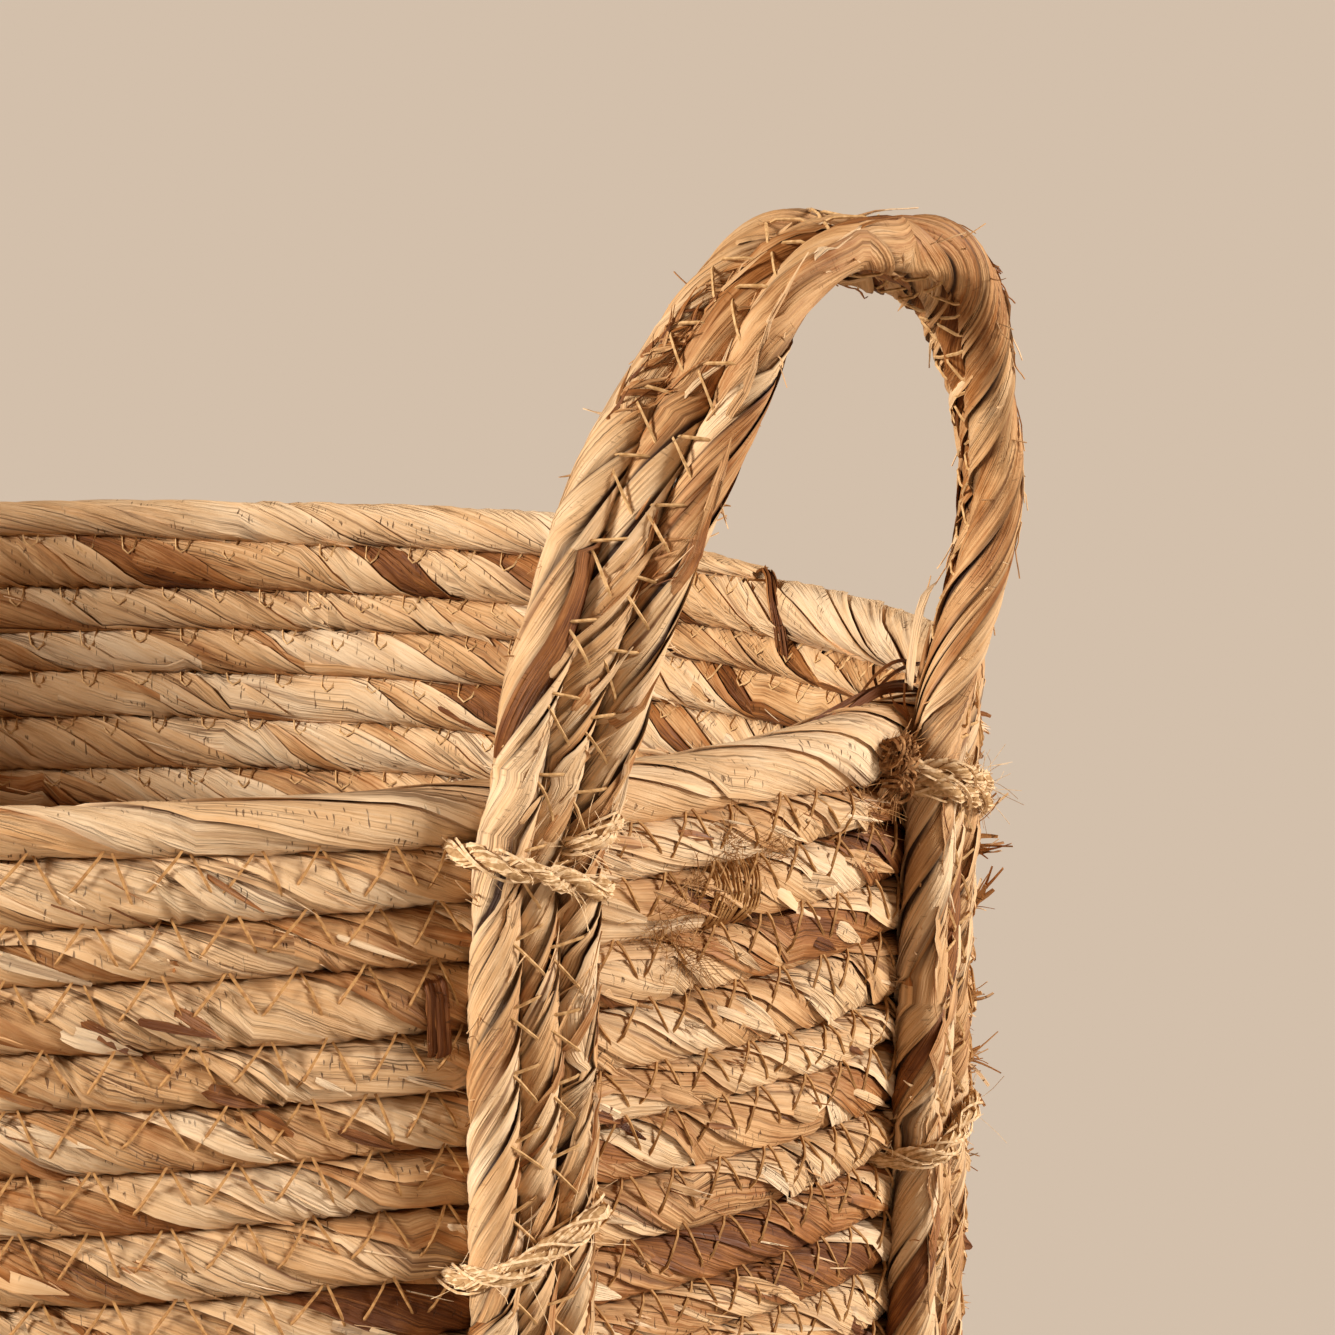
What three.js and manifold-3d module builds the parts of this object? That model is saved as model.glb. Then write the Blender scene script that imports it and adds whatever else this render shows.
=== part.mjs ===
// A round storage basket coiled from twisted plant-fibre rope, with two sewn cord handles.
// Millimetres, +Z up, the floor at z = 0 and the basket's axis on Z. The handles stand on +X and -X.
//
// The base is one rope wound in a flat spiral. The wall is the same rope wound upwards in a helix, so
// each turn, or course, lies on the one below, and the rim drops by one course where the rope ends.
// Each handle is a flat band of three cords. It runs up the wall as a leg, over in an arch and down the
// wall again, and loops of twine that pass between the courses tie its legs to the wall.
import * as THREE from 'three';
import { mergeVertices } from 'three/addons/utils/BufferGeometryUtils.js';
import Module from 'manifold-3d';

// ---- Driving dimensions: millimetres, degrees and counts ----
const RIM_RADIUS = 220;        // outside of the wall at its top
const BASE_RADIUS = 212;       // outside of the wall at the floor
const ROPE_THICKNESS = 12;     // the rope, measured through the wall
const ROPE_HEIGHT = 12;        // the rope, measured up the wall: one course
const WALL_COURSES = 28;       // turns of rope in the wall
const WALL_LENGTHS = 6;        // lengths of rope spliced end to end below the rim turn
const ROPE_END_ANGLE = 74;     // where the rope ends at the rim, from +X towards +Y
const CORD_DIAMETER = 9;       // one cord of a handle band
const BAND_CORDS = 3;          // cords side by side in a band
const LEG_ANGLE = 17;          // each leg top's place on the wall, either side of the handle's middle
const LEG_SHIFT = -1.4;        // angle by which both legs are sewn on to one side of their tops
const LEG_BEND_DEPTH = 28;     // depth below the pivot at which a leg reaches its sewn place
const LEG_FOOT_HEIGHT = 10;    // bottom end of a leg above the floor
const ARCH_RISE = 91;          // middle of the arch's top above its pivot line
const ARCH_LEAN = 11;          // outward tilt of the arch
const TWINE_DIAMETER = 4;      // the twine that ties the legs to the wall
const TWINE_BEND = 3;          // radius of a twine loop's corners
const TIES_PER_LEG = 5;        // twine loops on each leg
const FIRST_TIE_COURSE = 1;    // courses from the rim down to the first loop
const LAST_TIE_COURSE = 3;     // courses left below the last loop's upper end
const TAPERED_SHARE = 0.85;    // share of a turn over which a tapered rope end thins out
const PIVOT_CLEARANCE = 1;     // pivot line above the highest point of the rim
const PIVOT_GAP = 5;           // half the free cord at the pivot, so that the arch can bend over
const GAP = 0.3;               // clear space between neighbouring pieces
const CORD_GAP = 0.7;          // clear space between the cords of a band, which twist together

// ---- Facets ----
const WALL_FACETS = 20;        // flats in one turn of the wall and of the outer base
const INNER_BASE_FACETS = 10;  // flats in one turn of the inner base
const ARCH_STEPS = 24;         // steps along an arch
const LOOP_SIDES = 5;          // sides of the twine
const FLAT_SHARE = 0.6;        // width of the rope's flat bearing faces, as a share of the rope

// ---- Sizes that follow ----
const WALL_TOP = ROPE_HEIGHT * (1 + WALL_COURSES);
const PIVOT_HEIGHT = WALL_TOP + PIVOT_CLEARANCE;
const BASE_TURNS = Math.round(BASE_RADIUS / ROPE_THICKNESS);
const BASE_PITCH = BASE_RADIUS / BASE_TURNS;
const CORD_PITCH = CORD_DIAMETER + CORD_GAP;
const TURN = 2 * Math.PI;
const END_ANGLE = THREE.MathUtils.degToRad(ROPE_END_ANGLE);

// Middle line of an arch, from its first leg to its second: shares of half its span and of its rise.
const ARCH_LINE = [
  [-1, 0], [-0.955, 0.12], [-0.885, 0.3], [-0.8, 0.48], [-0.67, 0.69], [-0.48, 0.895], [-0.14, 1],
  [0.29, 0.995], [0.54, 0.965], [0.72, 0.88], [0.87, 0.69], [0.985, 0.45], [1.03, 0.2], [1, 0],
];

const wasm = await Module();
wasm.setup();

// ---- Materials ----
function strawMaterial(color, roughness) {
  return new THREE.MeshStandardMaterial({ color, roughness, metalness: 0 });
}

function ropeMaterial() {
  return strawMaterial(0xc9a173, 0.72);
}

function cordMaterial() {
  return strawMaterial(0xc39a68, 0.7);
}

function twineMaterial() {
  return strawMaterial(0xd9b98c, 0.9);
}

// ---- Sections and bending ----
// The rope's section fits a unit square and has level flats, so that stacked courses bear on each other.
function ropeSection() {
  const side = 0.5;
  const flat = FLAT_SHARE / 2;
  return new THREE.Shape([
    new THREE.Vector2(side, 0),
    new THREE.Vector2(flat, side),
    new THREE.Vector2(-flat, side),
    new THREE.Vector2(-side, 0),
    new THREE.Vector2(-flat, -side),
    new THREE.Vector2(flat, -side),
  ]);
}

// An eight-sided cord whose flats face its neighbours.
function cordSection() {
  const corners = [];
  const reach = CORD_DIAMETER / 2 / Math.cos(Math.PI / 8);
  for (let i = 0; i < 8; i += 1) {
    const angle = (i + 0.5) * TURN / 8;
    corners.push(new THREE.Vector2(reach * Math.cos(angle), reach * Math.sin(angle)));
  }
  return new THREE.Shape(corners);
}

// Extrudes a section straight in whole steps, then moves each corner to place(x, y, step).
function bentExtrusion(section, steps, place) {
  const geometry = new THREE.ExtrudeGeometry(section, { depth: steps, steps, bevelEnabled: false });
  const corners = geometry.attributes.position;
  for (let i = 0; i < corners.count; i += 1) {
    const point = place(corners.getX(i), corners.getY(i), Math.round(corners.getZ(i)));
    corners.setXYZ(i, point.x, point.y, point.z);
  }
  return closedSolid(geometry);
}

// Merges shared corners and turns the faces outwards.
function closedSolid(geometry) {
  geometry.deleteAttribute('normal');
  geometry.deleteAttribute('uv');
  const solid = mergeVertices(geometry, 1e-4);
  if (signedVolume(solid) < 0) {
    const index = solid.index;
    for (let i = 0; i < index.count; i += 3) {
      const second = index.getX(i + 1);
      index.setX(i + 1, index.getX(i + 2));
      index.setX(i + 2, second);
    }
  }
  solid.computeVertexNormals();
  return solid;
}

function signedVolume(geometry) {
  const corners = geometry.attributes.position;
  const index = geometry.index;
  const a = new THREE.Vector3();
  const b = new THREE.Vector3();
  const c = new THREE.Vector3();
  let total = 0;
  for (let i = 0; i < index.count; i += 3) {
    a.fromBufferAttribute(corners, index.getX(i));
    b.fromBufferAttribute(corners, index.getX(i + 1));
    c.fromBufferAttribute(corners, index.getX(i + 2));
    total += a.dot(b.cross(c)) / 6;
  }
  return total;
}

function namedMesh(name, geometry, material) {
  const mesh = new THREE.Mesh(geometry, material);
  mesh.name = name;
  return mesh;
}

// ---- The wall's shape ----
// Outside radius of the wall at a height.
function wallRadius(height) {
  return BASE_RADIUS + (RIM_RADIUS - BASE_RADIUS) * height / WALL_TOP;
}

// Smallest radius of the wall's flat-sided inner face at a height.
function innerRadius(height) {
  return (wallRadius(height) - ROPE_THICKNESS) * Math.cos(Math.PI / WALL_FACETS);
}

// Top of the rope, a number of turns after it leaves the base.
function courseTop(turns) {
  return ROPE_HEIGHT * (1 + turns);
}

// Turns of rope that lie below the rim at an angle round the wall.
function turnsAtRim(angle) {
  const past = ((angle - END_ANGLE) % TURN + TURN) % TURN;
  return WALL_COURSES - past / TURN;
}

// A point of the wall rope's section, at a whole number of facets from the start of the wall.
function wallCorner(x, y, facet) {
  const turns = facet / WALL_FACETS;
  const top = courseTop(turns);
  const bottom = Math.max(ROPE_HEIGHT, top - ROPE_HEIGHT);
  const middle = (top + bottom) / 2;
  const height = middle + y * (top - bottom - GAP);
  const radius = wallRadius(middle) - ROPE_THICKNESS / 2 + x * ROPE_THICKNESS;
  const angle = END_ANGLE - turns * TURN;
  return new THREE.Vector3(radius * Math.cos(angle), radius * Math.sin(angle), height);
}

// A point of the base rope's section, at a whole number of facets from the middle of the base.
// The last turn thins out, which leaves the base round.
function baseCorner(x, y, facet, facetsPerTurn) {
  const turns = facet / facetsPerTurn;
  const outer = Math.min(turns * BASE_PITCH, BASE_RADIUS);
  const inner = (turns - 1) * BASE_PITCH;
  const radius = (outer + inner) / 2 + x * (outer - inner - GAP);
  const angle = END_ANGLE - turns * TURN;
  const height = (ROPE_HEIGHT - GAP) * (y + 0.5);
  return new THREE.Vector3(radius * Math.cos(angle), radius * Math.sin(angle), height);
}

// A rope between two whole facets of a path, with its two ends drawn back by half a gap.
function ropeLength(first, last, corner) {
  const steps = last - first;
  return bentExtrusion(ropeSection(), steps, (x, y, step) => {
    const here = corner(x, y, first + step);
    if (step > 0 && step < steps) {
      return here;
    }
    const next = corner(x, y, step === 0 ? first + 1 : last - 1);
    return here.add(next.sub(here).setLength(GAP));
  });
}

function wallRope(first, last) {
  return ropeLength(first, last, wallCorner);
}

function baseRope(firstTurn, lastTurn, facetsPerTurn) {
  const first = Math.round(firstTurn * facetsPerTurn);
  const last = Math.round(lastTurn * facetsPerTurn);
  return ropeLength(first, last, (x, y, facet) => baseCorner(x, y, facet, facetsPerTurn));
}

// ---- Handle legs and arches ----
// A frame on the wall at an angle: out from the axis, along the wall, and up.
function wallFrame(angle) {
  return {
    out: new THREE.Vector3(Math.cos(angle), Math.sin(angle), 0),
    along: new THREE.Vector3(-Math.sin(angle), Math.cos(angle), 0),
    up: new THREE.Vector3(0, 0, 1),
  };
}

function fromFrame(frame, out, along, up) {
  const point = frame.out.clone().multiplyScalar(out);
  point.addScaledVector(frame.along, along);
  return point.addScaledVector(frame.up, up);
}

// Distance of a cord's middle from the axis where it lies on the wall at a height.
function legRadius(height) {
  return wallRadius(height) + GAP + CORD_DIAMETER / 2;
}

// Angle round the wall of a leg's middle line at a height. The angle given is that of its top.
function legAngleAt(angle, height) {
  const top = PIVOT_HEIGHT - PIVOT_GAP;
  const bend = PIVOT_HEIGHT - LEG_BEND_DEPTH;
  const share = THREE.MathUtils.clamp((top - height) / (top - bend), 0, 1);
  return angle + THREE.MathUtils.degToRad(LEG_SHIFT) * share;
}

// A straight cord up the wall with one bend in it, where it turns towards the arch's foot.
function legCord(angle, offset) {
  const heights = [LEG_FOOT_HEIGHT, PIVOT_HEIGHT - LEG_BEND_DEPTH, PIVOT_HEIGHT - PIVOT_GAP];
  return bentExtrusion(cordSection(), heights.length - 1, (x, y, step) => {
    const height = heights[step];
    const frame = wallFrame(legAngleAt(angle, height));
    return fromFrame(frame, legRadius(height) + y, offset + x, height);
  });
}

// The arch's middle line, in a plane that leans out from the pivot line.
function archCurve() {
  const angle = THREE.MathUtils.degToRad(LEG_ANGLE);
  const lean = THREE.MathUtils.degToRad(ARCH_LEAN);
  const out = legRadius(PIVOT_HEIGHT) * Math.cos(angle);
  const halfSpan = legRadius(PIVOT_HEIGHT) * Math.sin(angle);
  const points = ARCH_LINE.map(([across, up]) => {
    const rise = PIVOT_GAP + up * (ARCH_RISE - PIVOT_GAP);
    return new THREE.Vector3(out + rise * Math.tan(lean), across * halfSpan, PIVOT_HEIGHT + rise);
  });
  return new THREE.CatmullRomCurve3(points, false, 'centripetal');
}

// How far the band has turned about its own line: flat on the wall at the legs, edge-on at the top.
function bandTurn(share) {
  const rise = THREE.MathUtils.smoothstep(share, 0, 0.42);
  const fall = 1 - THREE.MathUtils.smoothstep(share, 0.58, 1);
  return THREE.MathUtils.degToRad(LEG_ANGLE + (90 - LEG_ANGLE) * Math.min(rise, fall));
}

function archCord(offset) {
  const curve = archCurve();
  const lean = THREE.MathUtils.degToRad(ARCH_LEAN);
  const outward = new THREE.Vector3(Math.cos(lean), 0, -Math.sin(lean));
  return bentExtrusion(cordSection(), ARCH_STEPS, (x, y, step) => {
    const share = step / ARCH_STEPS;
    const point = curve.getPointAt(share);
    const line = curve.getTangentAt(share);
    const inward = line.clone().cross(outward).normalize();
    const turn = bandTurn(share);
    const across = inward.multiplyScalar(Math.cos(turn)).addScaledVector(outward, Math.sin(turn));
    const face = across.clone().cross(line).normalize();
    return point.addScaledVector(across, offset + x).addScaledVector(face, y);
  });
}

// ---- Twine ties ----
// How far from the axis the twine runs at a height: outside the band of cords, and inside the wall.
function twineOutside(height) {
  const radius = TWINE_DIAMETER / 2;
  return wallRadius(height + radius) + 2 * GAP + CORD_DIAMETER + radius;
}

function twineInside(height) {
  return innerRadius(height - ROPE_HEIGHT / 2) - GAP - TWINE_DIAMETER / 2;
}

// A round-cornered loop, as a ring of points: over the band outside, in between two courses, up or
// down the inside, and out between two others.
function tieLoop(topAngle, courseBefore, courseAfter) {
  const depth = (courseBefore + courseAfter) / 2;
  const angle = legAngleAt(topAngle, courseTop(turnsAtRim(topAngle) - depth));
  const frame = wallFrame(angle);
  const half = BAND_CORDS * CORD_PITCH / 2 + GAP + TWINE_DIAMETER / 2;
  const swing = Math.atan2(half, RIM_RADIUS);
  const before = courseTop(turnsAtRim(angle - swing) - courseBefore);
  const after = courseTop(turnsAtRim(angle + swing) - courseAfter);
  const slope = (after - before) / (2 * half);
  const corners = [
    { out: twineOutside(before), outSign: 1, alongSign: -1 },
    { out: twineOutside(after), outSign: 1, alongSign: 1 },
    { out: twineInside(after), outSign: -1, alongSign: 1 },
    { out: twineInside(before), outSign: -1, alongSign: -1 },
  ];
  const points = [];
  for (const { out, outSign, alongSign } of corners) {
    for (let i = 0; i < 3; i += 1) {
      const bend = (outSign === alongSign ? 2 - i : i) * Math.PI / 4;
      const along = alongSign * (half - TWINE_BEND * (1 - Math.cos(bend)));
      const drawnIn = TWINE_BEND * (1 - Math.sin(bend));
      const height = (before + after) / 2 + slope * along;
      points.push(fromFrame(frame, out - outSign * drawnIn, along, height));
    }
  }
  const normal = frame.up.clone().addScaledVector(frame.along, -slope).normalize();
  return { points, normal };
}

// A torus laid along a loop's points, so that it becomes one closed ring of twine.
function twineRing(loop, radius) {
  const steps = loop.points.length;
  const geometry = new THREE.TorusGeometry(1, 0.5, LOOP_SIDES, steps);
  const corners = geometry.attributes.position;
  for (let i = 0; i < corners.count; i += 1) {
    const x = corners.getX(i);
    const y = corners.getY(i);
    const step = (Math.round(Math.atan2(y, x) / TURN * steps) + steps) % steps;
    const point = loop.points[step].clone();
    const before = loop.points[(step + steps - 1) % steps];
    const after = loop.points[(step + 1) % steps];
    const line = after.clone().sub(before).normalize();
    const sideways = line.cross(loop.normal).normalize();
    const scale = radius / 0.5;
    point.addScaledVector(sideways, (Math.hypot(x, y) - 1) * scale);
    point.addScaledVector(loop.normal, corners.getZ(i) * scale);
    corners.setXYZ(i, point.x, point.y, point.z);
  }
  return closedSolid(geometry);
}

// ---- Cutting the twine's way through the wall ----
function toManifold(geometry) {
  return new wasm.Manifold(new wasm.Mesh({
    numProp: 3,
    vertProperties: new Float32Array(geometry.attributes.position.array),
    triVerts: new Uint32Array(geometry.index.array),
  }));
}

function fromManifold(solid) {
  const mesh = solid.getMesh();
  const geometry = new THREE.BufferGeometry();
  geometry.setAttribute('position', new THREE.BufferAttribute(mesh.vertProperties, 3));
  geometry.setIndex(new THREE.BufferAttribute(mesh.triVerts, 1));
  geometry.computeVertexNormals();
  return geometry;
}

function cutFrom(geometry, cutters) {
  let solid = toManifold(geometry);
  for (const cutter of cutters) {
    solid = solid.subtract(cutter);
  }
  return fromManifold(solid);
}

// ---- The pieces ----
// One handle's legs as angles round the wall. The first leg is the arch's first end.
function handleLegs(handleAngle) {
  const swing = THREE.MathUtils.degToRad(LEG_ANGLE);
  return [
    { name: 'first', angle: handleAngle - swing },
    { name: 'second', angle: handleAngle + swing },
  ];
}

function bandOffsets() {
  const offsets = [];
  for (let i = 0; i < BAND_CORDS; i += 1) {
    offsets.push((i - (BAND_CORDS - 1) / 2) * CORD_PITCH);
  }
  return offsets;
}

// The loops down one leg slant by one course, turn about.
function legTies(angle) {
  const ties = [];
  const lowest = WALL_COURSES - LAST_TIE_COURSE;
  for (let i = 0; i < TIES_PER_LEG; i += 1) {
    const share = i / (TIES_PER_LEG - 1);
    const course = Math.round(FIRST_TIE_COURSE + share * (lowest - FIRST_TIE_COURSE));
    const lower = course + 1;
    ties.push(i % 2 === 0 ? tieLoop(angle, course, lower) : tieLoop(angle, lower, course));
  }
  return ties;
}

function buildHandle(group, side, handleAngle, cutters) {
  bandOffsets().forEach((offset, i) => {
    const arch = namedMesh(`${side}_arch_cord_${i + 1}`, archCord(offset), cordMaterial());
    arch.rotation.z = handleAngle;
    group.add(arch);
  });
  for (const leg of handleLegs(handleAngle)) {
    bandOffsets().forEach((offset, i) => {
      const name = `${side}_${leg.name}_leg_cord_${i + 1}`;
      group.add(namedMesh(name, legCord(leg.angle, offset), cordMaterial()));
    });
    legTies(leg.angle).forEach((loop, i) => {
      const ring = twineRing(loop, TWINE_DIAMETER / 2);
      group.add(namedMesh(`${side}_${leg.name}_tie_${i + 1}`, ring, twineMaterial()));
      cutters.push(toManifold(twineRing(loop, TWINE_DIAMETER / 2 + GAP)));
    });
  }
}

function buildBase(group) {
  const middle = Math.floor(BASE_TURNS / 2);
  const start = 1.3;
  const inner = baseRope(start, middle, INNER_BASE_FACETS);
  const outer = baseRope(middle, BASE_TURNS + TAPERED_SHARE, WALL_FACETS);
  group.add(namedMesh('base_rope_inner', inner, ropeMaterial()));
  group.add(namedMesh('base_rope_outer', outer, ropeMaterial()));
}

function buildWall(group, cutters) {
  const start = Math.round((1 - TAPERED_SHARE) * WALL_FACETS);
  const rimStart = (WALL_COURSES - 1) * WALL_FACETS;
  for (let i = 0; i < WALL_LENGTHS; i += 1) {
    const first = i === 0 ? start : Math.round(rimStart * i / WALL_LENGTHS);
    const last = Math.round(rimStart * (i + 1) / WALL_LENGTHS);
    const rope = cutFrom(wallRope(first, last), cutters);
    group.add(namedMesh(`wall_rope_${i + 1}`, rope, ropeMaterial()));
  }
  const rim = cutFrom(wallRope(rimStart, WALL_COURSES * WALL_FACETS), cutters);
  group.add(namedMesh('rim_rope', rim, ropeMaterial()));
}

function buildBasket() {
  const basket = new THREE.Group();
  basket.name = 'coiled_rope_basket';
  const cutters = [];
  buildBase(basket);
  buildHandle(basket, 'right', 0, cutters);
  buildHandle(basket, 'left', Math.PI, cutters);
  buildWall(basket, cutters);
  return basket;
}

export default buildBasket();
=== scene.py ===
# %% [markdown]
# # A coiled rope basket
# This lesson dresses a measured model of a storage basket. The basket is one thick rope of dry leaves,
# wound round and round and sewn to itself. Two flat handles of three sewn cords stand on its rim.
# The measured model is loaded first. It is the frame: nothing in it is moved, and each new piece
# takes its place from it.

# %% Load the frame
import math

import bpy
import numpy as np
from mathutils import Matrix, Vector
from mathutils.bvhtree import BVHTree


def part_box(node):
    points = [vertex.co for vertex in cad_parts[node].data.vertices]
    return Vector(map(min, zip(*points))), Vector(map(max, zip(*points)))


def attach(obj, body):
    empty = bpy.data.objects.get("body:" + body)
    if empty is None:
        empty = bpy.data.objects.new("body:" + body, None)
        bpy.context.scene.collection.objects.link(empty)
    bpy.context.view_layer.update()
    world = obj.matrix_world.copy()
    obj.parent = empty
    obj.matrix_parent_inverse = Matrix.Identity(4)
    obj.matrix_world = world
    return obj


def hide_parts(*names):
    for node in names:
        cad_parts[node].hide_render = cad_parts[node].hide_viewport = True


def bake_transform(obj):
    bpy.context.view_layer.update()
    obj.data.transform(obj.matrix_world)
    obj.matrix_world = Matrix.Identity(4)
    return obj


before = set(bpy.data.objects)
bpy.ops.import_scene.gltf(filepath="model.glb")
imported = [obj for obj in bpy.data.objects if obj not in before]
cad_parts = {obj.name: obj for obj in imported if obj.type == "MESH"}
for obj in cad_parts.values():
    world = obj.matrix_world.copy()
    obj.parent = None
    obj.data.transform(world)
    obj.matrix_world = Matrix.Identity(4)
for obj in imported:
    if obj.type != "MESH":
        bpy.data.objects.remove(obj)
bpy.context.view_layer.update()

MM = 0.001
TURN = 2 * math.pi

# %% [markdown]
# ## Sizes
# The rope is sized here, because every piece below needs the same few values. Two of them are printed
# beside the same values read back from the frame's own boxes.

# %% Sizes of the basket
ROPE = 12 * MM                 # the rope's height and its thickness
COURSES = 28                   # turns of rope in the wall
RIM_RADIUS = 220 * MM
BASE_RADIUS = 212 * MM
WALL_TOP = ROPE * (1 + COURSES)
END_ANGLE = math.radians(74)   # where the rope ends at the rim, from +X towards +Y
BASE_TURNS = round(BASE_RADIUS / ROPE)
BASE_PITCH = BASE_RADIUS / BASE_TURNS
LEG_ANGLE = math.radians(17)   # each leg top's place, either side of its handle's middle
LEG_SHIFT = math.radians(-1.4)   # both legs are sewn on a little to one side of their tops
PIVOT_HEIGHT = WALL_TOP + 1 * MM
LEG_FOOT = 10 * MM

_, rim_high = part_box("rim_rope")
print("wall top by hand and by frame, mm", WALL_TOP / MM, round(rim_high[2] / MM, 2))
print("rim radius by hand and by frame, mm", RIM_RADIUS / MM, round(rim_high[1] / MM, 2))


def wall_radius(height):
    """Outside radius of the wall at a height."""
    return BASE_RADIUS + (RIM_RADIUS - BASE_RADIUS) * height / WALL_TOP


# %% [markdown]
# ## The camera
# The camera looks a little down on one handle and the rim beside it. A short lens close by would bend the
# rim's curve, so a long lens is used from further off. Depth of field stays off, so all of it is sharp.

# %% Add the camera
CAMERA_PLACE = (0.870, -0.871, 0.520)
CAMERA_HEADING = 38            # degrees, turned from looking along +Y
CAMERA_TILT = 8.70             # degrees, below the horizon
CAMERA_LENS = 147.6            # millimetres, on a 36 mm sensor


def add_camera():
    rotation = (math.radians(90 - CAMERA_TILT), 0, math.radians(CAMERA_HEADING))
    bpy.ops.object.camera_add(location=CAMERA_PLACE, rotation=rotation)
    camera = bpy.context.object
    camera.name = "camera"
    camera.data.lens = CAMERA_LENS
    camera.data.sensor_width = 36
    camera.data.clip_end = 200
    bpy.context.scene.camera = camera
    return camera


print("camera lens", add_camera().data.lens)

# %% [markdown]
# ## Light and floor
# Dry leaves show their ridges only when light comes from the side. Two soft, low lamps stand on opposite
# sides of the basket, and each gives one edge of every rope its light. What they miss gets the weak,
# warm light of the world, which stands for light thrown back by the basket's own surroundings. Lamps
# overhead would be simpler, but they would flatten the wall. The floor is so wide that it fills the view.

# %% Light the scene
ROOM = (0.80, 0.45, 0.23)
ROOM_STRENGTH = 0.28
FLOOR = (0.6087, 0.5641, 0.5091)
FLOOR_RADIUS = 60
LAMP = (1.0, 0.95, 0.87)


def add_world():
    world = bpy.data.worlds.new("room")
    world.use_nodes = True
    background = world.node_tree.nodes["Background"]
    background.inputs["Color"].default_value = (*ROOM, 1)
    background.inputs["Strength"].default_value = ROOM_STRENGTH
    bpy.context.scene.world = world


def add_sun(name, strength, elevation, azimuth, softness):
    """A distant lamp. The azimuth is where its light comes from, from +X towards +Y, in degrees."""
    bpy.ops.object.light_add(type="SUN", location=(0, 0, 2))
    lamp = bpy.context.object
    lamp.name = name
    lamp.data.energy = strength
    lamp.data.color = LAMP
    lamp.data.angle = math.radians(softness)
    towards = Vector((
        math.cos(math.radians(elevation)) * math.cos(math.radians(azimuth)),
        math.cos(math.radians(elevation)) * math.sin(math.radians(azimuth)),
        math.sin(math.radians(elevation)),
    ))
    lamp.rotation_euler = towards.to_track_quat("Z", "Y").to_euler()


def add_floor():
    bpy.ops.mesh.primitive_circle_add(vertices=96, radius=FLOOR_RADIUS, fill_type="NGON", location=(0, 0, 0))
    floor = bpy.context.object
    floor.name = "studio_floor"
    material = bpy.data.materials.new("studio_floor")
    material.use_nodes = True
    shader = material.node_tree.nodes["Principled BSDF"]
    shader.inputs["Base Color"].default_value = (*FLOOR, 1)
    shader.inputs["Roughness"].default_value = 1.0
    shader.inputs["Specular IOR Level"].default_value = 0.0
    floor.data.materials.append(material)


bpy.context.scene.view_settings.view_transform = "Standard"
add_world()
add_sun("key", strength=4.6, elevation=20, azimuth=250, softness=14)
add_sun("fill", strength=4.5, elevation=14, azimuth=38, softness=20)
add_floor()

# %% [markdown]
# ## The look of a dry leaf
# A dry leaf has fine veins along its length, wider pleats, small pits across the veins, and blotches
# where it dried unevenly. Every rope, cord and strip is made of it, so the pattern is one node group.
# It reads a map whose first direction runs along each leaf and whose second runs across it. These short
# helpers add one node each, so that the group and the materials below can be read like sums.

# %% Node helpers
def add_socket(tree, name, kind, side, value=None):
    socket = tree.interface.new_socket(name=name, in_out=side, socket_type=kind)
    if value is not None:
        socket.default_value = value
    return socket


def maths(tree, operation, *values):
    """A Math node. Its inputs are numbers or sockets."""
    node = tree.nodes.new("ShaderNodeMath")
    node.operation = operation
    for slot, value in enumerate(values):
        if isinstance(value, (int, float)):
            node.inputs[slot].default_value = value
        else:
            tree.links.new(value, node.inputs[slot])
    return node.outputs[0]


def mix_colour(tree, share, first, second):
    """A Mix node for colours, from the first where the share is 0 to the second where it is 1."""
    node = tree.nodes.new("ShaderNodeMix")
    node.data_type = "RGBA"
    for socket, value in ((node.inputs[0], share), (node.inputs[6], first), (node.inputs[7], second)):
        if isinstance(value, (int, float)):
            socket.default_value = value
        elif isinstance(value, tuple):
            socket.default_value = (*value, 1)
        else:
            tree.links.new(value, socket)
    return node.outputs[2]


def remap(tree, value, low, high):
    """Stretches low..high to 0..1 and cuts off what lies outside."""
    node = tree.nodes.new("ShaderNodeMapRange")
    tree.links.new(value, node.inputs["Value"])
    node.inputs["From Min"].default_value = low
    node.inputs["From Max"].default_value = high
    return node.outputs["Result"]


def stretched_noise(tree, place, along, across, detail):
    """Noise with its own scale in each direction of the leaf's map, in cells for each metre."""
    mapping = tree.nodes.new("ShaderNodeMapping")
    mapping.inputs["Scale"].default_value = (along, across, 1)
    tree.links.new(place, mapping.inputs["Vector"])
    noise = tree.nodes.new("ShaderNodeTexNoise")
    noise.inputs["Scale"].default_value = 1.0
    noise.inputs["Detail"].default_value = detail
    noise.inputs["Roughness"].default_value = 0.6
    tree.links.new(mapping.outputs[0], noise.inputs["Vector"])
    return noise.outputs[0]


def ramp(tree, value, stops):
    """A colour ramp from a list of (place, colour)."""
    node = tree.nodes.new("ShaderNodeValToRGB")
    elements = node.color_ramp.elements
    while len(elements) < len(stops):
        elements.new(0.5)
    for element, (place, colour) in zip(elements, stops):
        element.position = place
        element.color = (*colour, 1)
    tree.links.new(value, node.inputs[0])
    return node.outputs[0]


# %% [markdown]
# One noise texture can't make a leaf, because its marks differ in size and shape. The group holds seven
# noises, each stretched along the leaf by its own amount, and cuts them into five masks. Cracks lie where
# a noise crosses its middle value, which gives thin wavering lines, and pits where another one peaks.

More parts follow.
